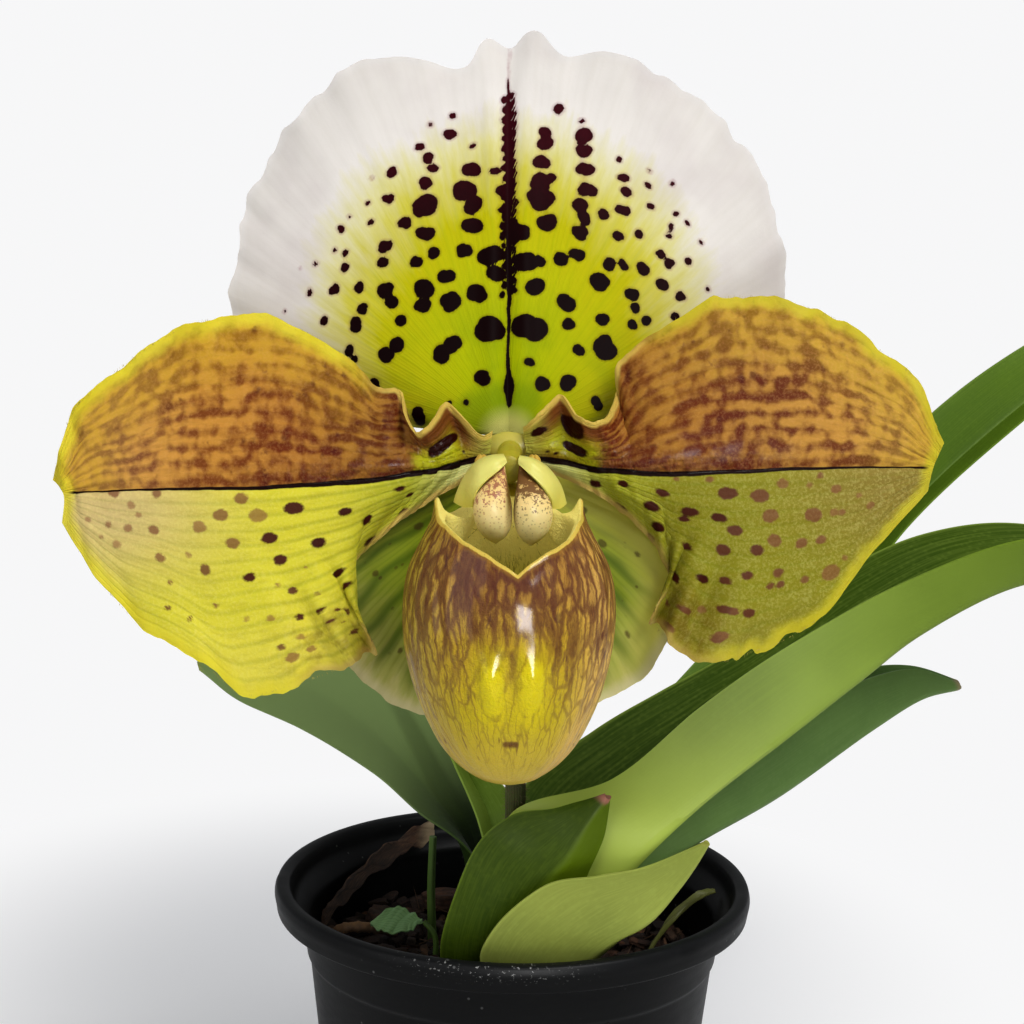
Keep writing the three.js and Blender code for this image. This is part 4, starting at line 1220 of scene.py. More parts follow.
class ORCHID_OT_stem(bpy.types.Operator):
    """Grow the hairy flower stem, the ribbed ovary and the bract about it"""
    bl_idname = "orchid.stem"
    bl_label = "Stem, ovary and bract"

    def execute(self, context):
        path = rail(SCAPE)

        def girth(turn, t):
            joint = 0.35 * np.exp(-((t - 0.97) / 0.03) ** 2)
            return 1.66 + joint + 0.04 * waves(t * 40, 17) + 0.03 * np.cos(7 * turn)

        piece = round_rod("stem_rod", path, girth, columns=40, rows=260)
        # the stem's dark olive-brown is partly its own colour and partly painted shade for where it stands
        # under the flower
        skin = stem_material("stem_skin_painted_shade", (66, 66, 18), (88, 98, 26), ribs=12)
        finish_piece(piece, skin, "stem", "scape")

        dice = np.random.default_rng(41)
        count = STEM_HAIR_COUNT
        t = dice.uniform(0.12, 0.985, count)
        turn = dice.uniform(0, 2 * pi, count)
        roots, ahead = stand_off(path, girth(turn, t), t, turn, dice.normal(0.1, 0.25, count))
        fuzz = plain_fibre_material("stem_hair", (150, 126, 96))
        piece = hairs("stem_hairs", roots, ahead, dice.uniform(0.45, 0.95, count), FUZZ_RADIUS, seed=42)
        finish_piece(piece, fuzz, "stem")

        ovary = rail(OVARY)

        def ribs(turn, t):
            return ovary_radius(t) * (1 - 0.09 * np.abs(np.sin(3 * turn)) ** 0.7 + 0.01 * waves(t * 30, 18))

        piece = round_rod("ovary_body", ovary, ribs, columns=72, rows=150)
        skin = stem_material("ovary_skin", (126, 118, 56), (158, 164, 76), ribs=6)
        finish_piece(piece, skin, "stem", "ovary")
        count = OVARY_HAIR_COUNT
        t = dice.uniform(0.05, 0.97, count)
        turn = dice.uniform(0, 2 * pi, count)
        roots, ahead = stand_off(ovary, ribs(turn, t), t, turn, dice.normal(0, 0.3, count))
        piece = hairs("ovary_hairs", roots, ahead, dice.uniform(0.35, 0.8, count), FUZZ_RADIUS, seed=43)
        finish_piece(piece, fuzz, "stem")

        piece, u, v = grid("bract_sheath", columns=70, rows=90)
        wrap = through([(0, 2.4), (0.5, 1.7), (1, 0.25)])(v)
        t = 0.02 + 0.62 * v
        side, back = across(ovary, t)
        angle = pi / 2 + (2 * u - 1) * wrap
        reach = ovary_radius(t) + 1.05 + 1.4 * v * v + 0.12 * waves(v * 8 + u * 4, 19)
        points = ovary(t) + reach[:, None] * (np.cos(angle)[:, None] * side + np.sin(angle)[:, None] * back)
        place(piece, points)
        thicken(piece, 0.6, 0.35 + 0.65 * (1 - np.abs(2 * u - 1) ** 4))
        skin = stem_material("bract_skin", (112, 134, 62), (150, 170, 84), ribs=9)
        finish_piece(piece, skin, "bract", "bract")
        return {"FINISHED"}


def stem_material(name, dark, light, ribs):
    material, n, wire = new_material(name, Subsurface_Weight=0.05, Subsurface_Scale=0.002)
    spot = n.object()
    u, v = n.uv()
    line = n.group("Fine veins", Across=u, Along=v, Count=ribs * 2, Wander=0.8, Width=0.35)
    cloud = n.noise(spot, 190, 4, 0.6)
    speck = n.cells(spot, 1300)
    tone = n.mix(n.step(cloud, 0.35, 0.7), dark, light)
    tone = n.mix(line * 0.5, tone, dark)
    tone = n.mix(n.step(speck, 0.3, 0.1) * 0.6, tone, (92, 48, 36))
    height = line * -0.5 + speck * 0.5
    wire(Base_Color=tone, Roughness=0.5 + cloud * 0.2, Normal=n.bump(height, 0.12))
    return material


# --- sepals


def polar_spots(rows):
    """Lumpy spots from (angle, radius, half size): (x, z, half length, half width, tilt, strength)."""
    dice = random.Random(90)
    spots = []
    for angle, radius, size in rows:
        heading = radians(angle)
        squash = 0.8 if radius > 27 else 0.92
        for _ in range(4 if size > 0.75 else 2):
            along = dice.uniform(-0.36, 0.36) * size
            outward = dice.uniform(-0.3, 0.3) * size * squash
            part = size * dice.uniform(0.6, 0.78)
            turn = heading + along / radius
            reach = radius + outward
            spots.append((
                reach * sin(turn), DORSAL_FOOT + reach * cos(turn),
                part, part * squash, dice.uniform(-35, 35) - angle, 1,
            ))
    return spots


def spot_field(x, z, spots):
    """How far inside a spot each point lies, in millimetres, and the strength of that spot."""
    scale = sizes().spot_size
    field = np.full(len(x), -9.0)
    strength = np.zeros(len(x))
    for cx, cz, long, short, tilt, strong in spots:
        c, s = cos(radians(tilt)), sin(radians(tilt))
        dx, dz = x - cx, z - cz
        ratio = np.hypot((dx * c + dz * s) / (long * scale), (dz * c - dx * s) / (short * scale))
        inside = (1 - ratio) * 0.5 * (long + short)
        better = inside > field
        field = np.where(better, inside, field)
        strength = np.where(better, strong, strength)
    return np.maximum(field, -3), strength


DORSAL_SPOTS = [
    (-3, 37.8, .8), (-2, 34.9, 1), (-2, 32.1, .8), (-6, 25.7, 1.7), (-4, 22.8, 1.4), (-12, 20.6, 1.7),
    (-9, 15.3, 2.2), (-26, 8.9, 1.4), (-7, 41.7, .7), (-8, 38.4, 1.6), (-10, 35.7, 2), (-9, 33.1, 1.7),
    (-10, 30, 1.8), (-13, 27.1, 1.4), (-21, 24.3, 1.3), (-23, 20.7, 1.6), (-29, 24, 1.7),
    (-33, 22.1, 1.4), (-32, 15, 1.6), (-40, 14.9, 1.6), (-10, 46.4, .7), (-11, 43.7, 1.1),
    (-16, 41.1, 1), (-16, 39.5, 1), (-18, 38, 1.2), (-20, 34.8, 2), (-22, 31.1, 1.4),
    (-22, 27.9, 1.2), (-28, 28, 1.1), (-40, 27, 1.4), (-41, 25.2, 1.2), (-43, 22.4, 1.1),
    (-51, 20.6, 1.4), (-56, 20.8, 1.4), (-77, 13, 1.2), (-53, 7.6, .7), (-62, 9.6, .6),
    (-14, 45.8, .5), (-17, 43.1, .8), (-24, 41, .9), (-27, 37.9, 1), (-26, 33.6, 1.1),
    (-33, 32.2, 1.2), (-36, 30.4, 1.1), (-45, 29.8, 1), (-49, 27.5, 1), (-54, 26.7, 1.2),
    (-62, 25.6, .9), (-64, 24.6, .7), (-69, 20.4, 1), (-28, 41.5, .4), (-31, 38.7, .5),
    (-33, 36.1, .6), (-42, 34.9, .7), (-44, 33.5, .9), (-50, 32.5, .9), (-58, 31.1, .8),
    (-36, 38.7, .4), (-39, 38, .8), (-43, 36.4, .5), (-48, 36.9, .5), (-54, 35, .6),
    (-61, 36.6, .3), (-51, 38.3, .2),
    (9, 47.1, .9), (7, 43.5, 1.1), (7, 41.8, 1.4), (7, 39.5, 1.6), (7, 36.3, 1.7), (9, 37.1, 1.1),
    (8, 33.8, 2), (10, 30.7, 1.7), (3, 29, 1.6), (6, 25, 1.7), (10, 25.2, 1), (11, 21.5, 1.7),
    (12, 15.3, 2.4), (16, 10.9, .9), (34, 8.6, 1.4), (13, 46.1, .6), (14, 44.1, 1.4), (15, 41.9, 1.4),
    (16, 39.3, 1.4), (18, 36.8, 1.4), (18, 34.5, 1.5), (19, 32.8, 1.2), (23, 34.3, 1),
    (19, 30.4, 1.4), (16, 26.5, 1.5), (21, 27.6, 1.2), (24, 20.6, 1.6), (29, 17.9, 1.1),
    (40, 15.7, 1), (49, 11.2, 1.4), (22, 42.5, .6), (24, 40.4, 1), (26, 38.7, 1),
    (27, 36.2, 1.1), (29, 32.6, 1.1), (30, 28.3, 1.2), (34, 29.3, 1), (31, 25.6, 1.7),
    (39, 21.4, 1.2), (48, 18.5, 2), (52, 19.2, .9), (70, 13.3, 1.1), (28, 42.8, .5),
    (29, 40.8, .7), (32, 38.5, .7), (33, 34.2, .9), (39, 30.6, 1.1), (41, 26.9, 1.2), (45, 25.5, .9),
    (48, 23.6, .9), (50, 25.5, .9), (40, 33.9, .8), (33, 43, .5), (37, 39.7, .6), (38, 37.8, .7),
    (40, 39.7, .5), (39, 36.5, .7), (43, 33.7, .9), (46, 30.7, 1.2), (51, 31.6, .9), (54, 29.2, .8),
    (45, 39, .5), (46, 35.8, .7), (54, 35.4, .5),
]
DORSAL_RIB = [
    (0, 0.3), (3, 0.4), (5, 0.65), (7, 1), (9, 0.5), (11, 0.44), (15, 0.4), (19, 0.5), (23, 0.68),
    (27.6, 0.6), (32, 0.7), (36, 0.78), (41, 0.74), (45, 0.6), (48, 0.42), (50, 0.26), (51.5, 0.1), (56, 0),
]
DORSAL_REACH = [
    (-84, 14), (-78, 33), (-71, 40.5), (-66.6, 43.5), (-56, 47.2), (-47, 51), (-37, 53.9),
    (-25.5, 57), (-18, 57), (-12, 54.8), (-8.7, 53.2), (-6.5, 53.2), (-5.3, 54.3), (-4.3, 56),
    (-3.2, 57), (-2.2, 56.9), (-1, 56.1), (0.1, 55.6), (1.1, 56), (2, 57.2), (3, 58), (4, 58.1),
    (5, 57.6), (6.1, 56.4), (7.5, 55.2), (9, 54.8), (14.5, 56.6), (25, 55.9), (38, 54.2), (47.4, 51.2),
    (57, 47.3), (63.6, 44.7), (71, 40), (78, 32), (84, 14),
]


class ORCHID_OT_dorsal_sepal(bpy.types.Operator):
    """Spread the pleated dorsal sepal with its maroon spots and rib"""
    bl_idname = "orchid.dorsal_sepal"
    bl_label = "Dorsal sepal"

    def execute(self, context):
        ruffle = sizes().ruffle
        piece, u, v = grid("dorsal_sheet", columns=314, rows=114)
        angle = (2 * u - 1) * radians(DORSAL_HALF_SPREAD)
        bearing = np.degrees(angle)
        away = smooth(12, 26, np.abs(bearing))
        scallop = 1 + away * (0.009 * waves(angle * 24, 23) + 0.004 * waves(angle * 62, 24))
        reach = through(DORSAL_REACH)(bearing) * scallop
        run = 0.006 + 0.994 * v
        radius = run * reach
        x = radius * np.sin(angle)
        z = DORSAL_FOOT + radius * np.cos(angle)
        y = 3.6 + 1.6 * run + 4 * run**2 * np.sin(angle) ** 2
        y += ruffle * run**5 * (0.7 * np.cos(9 * angle + 0.6) + 0.2 * waves(angle * 13, 25))
        y += ruffle * run**10 * (0.28 * waves(angle * 34, 26) + 0.6 * np.exp(-(angle / 0.05) ** 2))
        y += 0.03 * smooth(0.25, 0.8, run) * waves(angle * 26 + np.sin(run * 5), 29)
        y += 0.55 * np.exp(-(x / 1.1) ** 2) * (1 - smooth(0.85, 1, run))
        y -= 0.28 * np.exp(-((np.abs(x) - 2.4) / 1.3) ** 2) * (1 - smooth(0.7, 1, run))
        field, _ = spot_field(x, z, polar_spots(DORSAL_SPOTS) + self.feathering())
        wander = 0.12 * np.sin(z * 0.35) + 0.1 + 0.1 * waves(z * 0.9, 27)
        ragged = 0.08 * waves(z * 2.6 + 2 * np.sign(x), 28)
        rib = through(DORSAL_RIB)(z - DORSAL_FOOT) + ragged * smooth(9, 14, z) - np.abs(x - wander)
        field = np.maximum(field, np.where(z > DORSAL_FOOT, rib, -3))
        points = np.stack([x, y, z], 1)
        margin = edge_distance(points, np.full_like(u, 0.5), v)
        place(piece, out_of_flower(points))
        record(piece, "polar", np.stack([angle, radius, margin], 1))
        record(piece, "spot", field)
        weights = 0.25 + 0.75 * smooth(0, 5, margin)
        thicken(piece, TEPAL_THICKNESS, weights)
        finish_piece(piece, dorsal_material(), "sepal", "dorsal_sepal")
        return {"FINISHED"}

    def feathering(self):
        """Short dashes that slope down and outwards from the upper half of the rib."""
        dice = random.Random(77)
        dashes = []
        for i in range(42):
            up = 20 + i * 0.7
            side = 1 if i % 2 else -1
            dashes.append((
                0.15 + side * dice.uniform(0.8, 1.25) * (1.25 - up / 90), up + DORSAL_FOOT,
                dice.uniform(0.5, 0.72), dice.uniform(0.4, 0.52), -side * dice.uniform(40, 70), 1,
            ))
        return dashes


def dorsal_material():
    """Green at the base, lime, then white, with faint radial veins and dark spots."""
    material, n, wire = new_material("dorsal_sepal_tissue", Specular_IOR_Level=0.03)
    spot = n.object()
    angle, radius, margin = n.split(n.place("polar"))
    along = radius * 0.05
    streak = n.noise(n.vector(angle * 10, along), 2.6, 4, 0.62)
    broad = n.noise(n.vector(angle * 2.2, radius * 0.03), 2, 2)
    spread = radius + abs(angle) ** 1.8 * 11
    spread = spread + ((streak - 0.5) * 9 + (broad - 0.5) * 7)
    lime = list(colours().lime) + [1]
    tone = n.ramp(spread / 60, (0, (140, 162, 3)), (0.2, (176, 184, 2)), (0.36, lime),
        (0.52, (188, 182, 14)), (0.62, (202, 194, 78)), (0.7, (214, 208, 150)), (0.79, (224, 219, 213)),
        (1, (212, 207, 201)))
    veins = n.group("Fine veins", Across=angle, Along=along, Count=13, Wander=0.5, Width=0.18)
    hair_veins = n.group("Fine veins", Across=angle, Along=along, Count=40, Wander=0.8, Width=0.3)
    both = n.math("MAXIMUM", veins, hair_veins * 0.5)
    pale = n.step(spread, 30, 43)
    tone = n.mix(both * (0.2 - pale * 0.12), tone, n.mix(pale, (150, 164, 8), (196, 190, 176)))
    cloud = n.noise(spot, 90, 3)
    tone = n.mix(n.step(cloud, 0.4, 0.75) * (pale * 0.4), tone, (196, 186, 184))
    tone = n.mix(n.step(cloud, 0.62, 0.42) * (n.step(radius, 26, 6) * 0.6), tone, (120, 146, 10))
    tone = n.mix(n.step(margin, 1.4, 0) * 0.3, tone, (224, 222, 220))
    tone = n.mix(n.step(radius, 5, 1.5), tone, (204, 200, 118))
    field = n.number("spot") - n.step(radius, 4.4, 2.6, 0, 2)
    mask = n.group("Pigment edge", Field=field, Vector=spot, Grain=800, Wobble=0.24, Softness=0.07)
    halo = n.group("Pigment edge", Field=field + 0.22, Vector=spot, Grain=800, Wobble=0.26, Softness=0.22)
    tone = n.mix(halo * 0.34, tone, n.mix(pale, (112, 78, 4), (150, 82, 100)))
    deep = list(colours().spot) + [1]
    dark = n.mix(n.step(radius, 24, 48), deep, n.mix(0.6, deep, (88, 10, 30)))
    dark = n.mix(n.noise(spot, 1500, 3) * 0.5, dark, (14, 1, 2))
    tone = n.mix(mask, tone, dark)
    rough = 0.5 + (mask * -0.1 + cloud * 0.08)
    grain = n.group("Cell grain", Vector=spot, Size=2600)
    relief = both * (0.3 - pale * 0.22) + grain * 0.16
    relief = relief * (1 - mask) + mask * 0.5
    wire(Base_Color=tone, Roughness=rough, Normal=n.bump(relief, 0.08))
    return material


SYNSEPAL_REACH = [
    (-86, 9), (-72, 24), (-55, 33.5), (-41, 35.8), (-29, 37.2), (-18, 36.9), (-8, 37.8), (0, 38.6),
    (8, 37.6), (18.7, 35.7), (32, 35.5), (43, 33.4), (58, 30), (74, 20), (86, 9),
]
SYNSEPAL_SPOTS = [
    (-33, 17, 0.5), (-38, 23, 0.6), (-27, 22, 0.45), (-45, 19, 0.55), (-52, 24, 0.4), (-41, 13, 0.7),
    (-58, 15, 0.6), (-20, 27, 0.4), (-31, 30, 0.4), (36, 16, 0.6), (42, 21, 0.5), (30, 23, 0.5),
    (52, 17, 0.65), (57, 22, 0.45), (47, 12, 0.7), (25, 29, 0.4), (36, 29, 0.45), (62, 12, 0.6),
    (12, 20, 0.5), (-9, 24, 0.5), (4, 28, 0.4), (-14, 16, 0.5), (18, 14, 0.5),
]


def petal_spots(rows, surface, points, u, v):
    """Lumpy spots that lie along the veins, from rows of (x, z, half length, strength)."""
    dice = random.Random(91)
    spots = []
    for x, z, size, strength in rows:
        at = np.argmin(np.hypot(points[:, 0] - x, points[:, 2] - z))
        ahead = surface(u[at:at + 1], v[at:at + 1] + 0.02) - surface(u[at:at + 1], v[at:at + 1] - 0.02)
        lean = atan2(ahead[0, 2], ahead[0, 0])
        slim = 0.4 + 0.4 * float(smooth(16, 46, abs(x)))
        for _ in range(3):
            shift = dice.uniform(-0.4, 0.4) * size
            aside = dice.uniform(-0.3, 0.3) * size * slim
            long = size * dice.uniform(1.3, 1.6)
            spots.append((
                x + shift * cos(lean) - aside * sin(lean),
                z + shift * sin(lean) + aside * cos(lean),
                long, long * slim * dice.uniform(0.95, 1.25), degrees(lean), strength,
            ))
    return spots


class ORCHID_OT_synsepal(bpy.types.Operator):
    """Spread the fused lower sepals behind the pouch"""
    bl_idname = "orchid.synsepal"
    bl_label = "Synsepal"

    def execute(self, context):
        ruffle = sizes().ruffle
        piece, u, v = grid("synsepal_sheet", columns=210, rows=84)
        angle = (2 * u - 1) * radians(SYNSEPAL_HALF_SPREAD)
        scallop = 1 + 0.006 * waves(angle * 22, 31) + 0.003 * waves(angle * 60, 32)
        reach = through(SYNSEPAL_REACH)(-np.degrees(angle)) * scallop
        run = 0.006 + 0.994 * v
        radius = run * reach
        x = -radius * np.sin(angle)
        z = SYNSEPAL_FOOT + 1.8 * (1 - v) ** 6 - radius * np.cos(angle)
        y = 3.6 + 3 * run - 1.5 * run**2 + 0.6 * ruffle * run**4 * np.cos(9 * angle)
        y += ruffle * run**6 * 0.35 * waves(angle * 17, 33)
        y += 0.12 * waves(angle * 22 + 0.8 * np.sin(run * 4), 34) * smooth(0.15, 0.6, run)
        y += 0.5 * np.exp(-x**2) * run
        field, _ = spot_field(x, z, [
            (r * sin(radians(a)), SYNSEPAL_FOOT - r * cos(radians(a)), s * 1.25, s * 0.85, 90 + a, 1)
            for a, r, s in SYNSEPAL_SPOTS
        ])
        points = np.stack([x, y, z], 1)
        margin = edge_distance(points, np.full_like(u, 0.5), v)
        place(piece, out_of_flower(points))
        record(piece, "polar", np.stack([angle, radius, margin], 1))
        record(piece, "spot", field)
        thicken(piece, TEPAL_THICKNESS, 0.3 + 0.7 * smooth(0, 5, margin))
        finish_piece(piece, synsepal_material(), "sepal_green", "synsepal")
        return {"FINISHED"}


def synsepal_material():
    material, n, wire = new_material("synsepal_tissue", Subsurface_Weight=0.04, Subsurface_Scale=0.001,
        Specular_IOR_Level=0.08)
    spot = n.object()
    angle, radius, margin = n.split(n.place("polar"))
    streak = n.noise(n.vector(angle * 9, radius * 0.05), 2.6, 4, 0.6)
    spread = radius + (streak - 0.5) * 12
    tone = n.ramp(spread / 40, (0, (168, 180, 50)), (0.35, (146, 160, 36)), (0.6, (142, 154, 46)),
        (0.85, (176, 174, 96)), (1, (214, 202, 150)))
    veins = n.group("Fine veins", Across=angle, Along=radius * 0.05, Count=7, Wander=0.9, Width=0.34)
    fine = n.group("Fine veins", Across=angle, Along=radius * 0.07, Count=28, Wander=1, Width=0.3)
    inner = n.step(margin, 0.5, 6)
    tone = n.mix(veins * (inner * 0.72), tone, (70, 96, 10))
    tone = n.mix(fine * (inner * 0.24), tone, (96, 118, 20))
    lit = n.step(angle, -0.4, -0.9) * n.step(margin, 9, 2.5)
    tone = n.mix(lit * 0.85, tone, (232, 228, 104))
    dots = n.step(n.cells(n.vector(angle * 16, radius * 0.5), 1), 0.2, 0.1) * (veins * n.step(margin, 3, 8))
    tone = n.mix(n.step(margin, 2.2, 0.3) * 0.6, tone, (206, 198, 158))
    mask = n.group("Pigment edge", Field=n.number("spot"), Vector=spot, Grain=900, Wobble=0.3, Softness=0.2)
    tone = n.mix(n.math("MAXIMUM", mask, dots) * 0.7, tone, (74, 48, 18))
    grain = n.group("Cell grain", Vector=spot, Size=2600)
    relief = veins * 0.3 + (fine * 0.06 + grain * 0.25)
    wire(Base_Color=tone, Roughness=0.48 + streak * 0.14, Normal=n.bump(relief, 0.09))
    return material


# --- petals

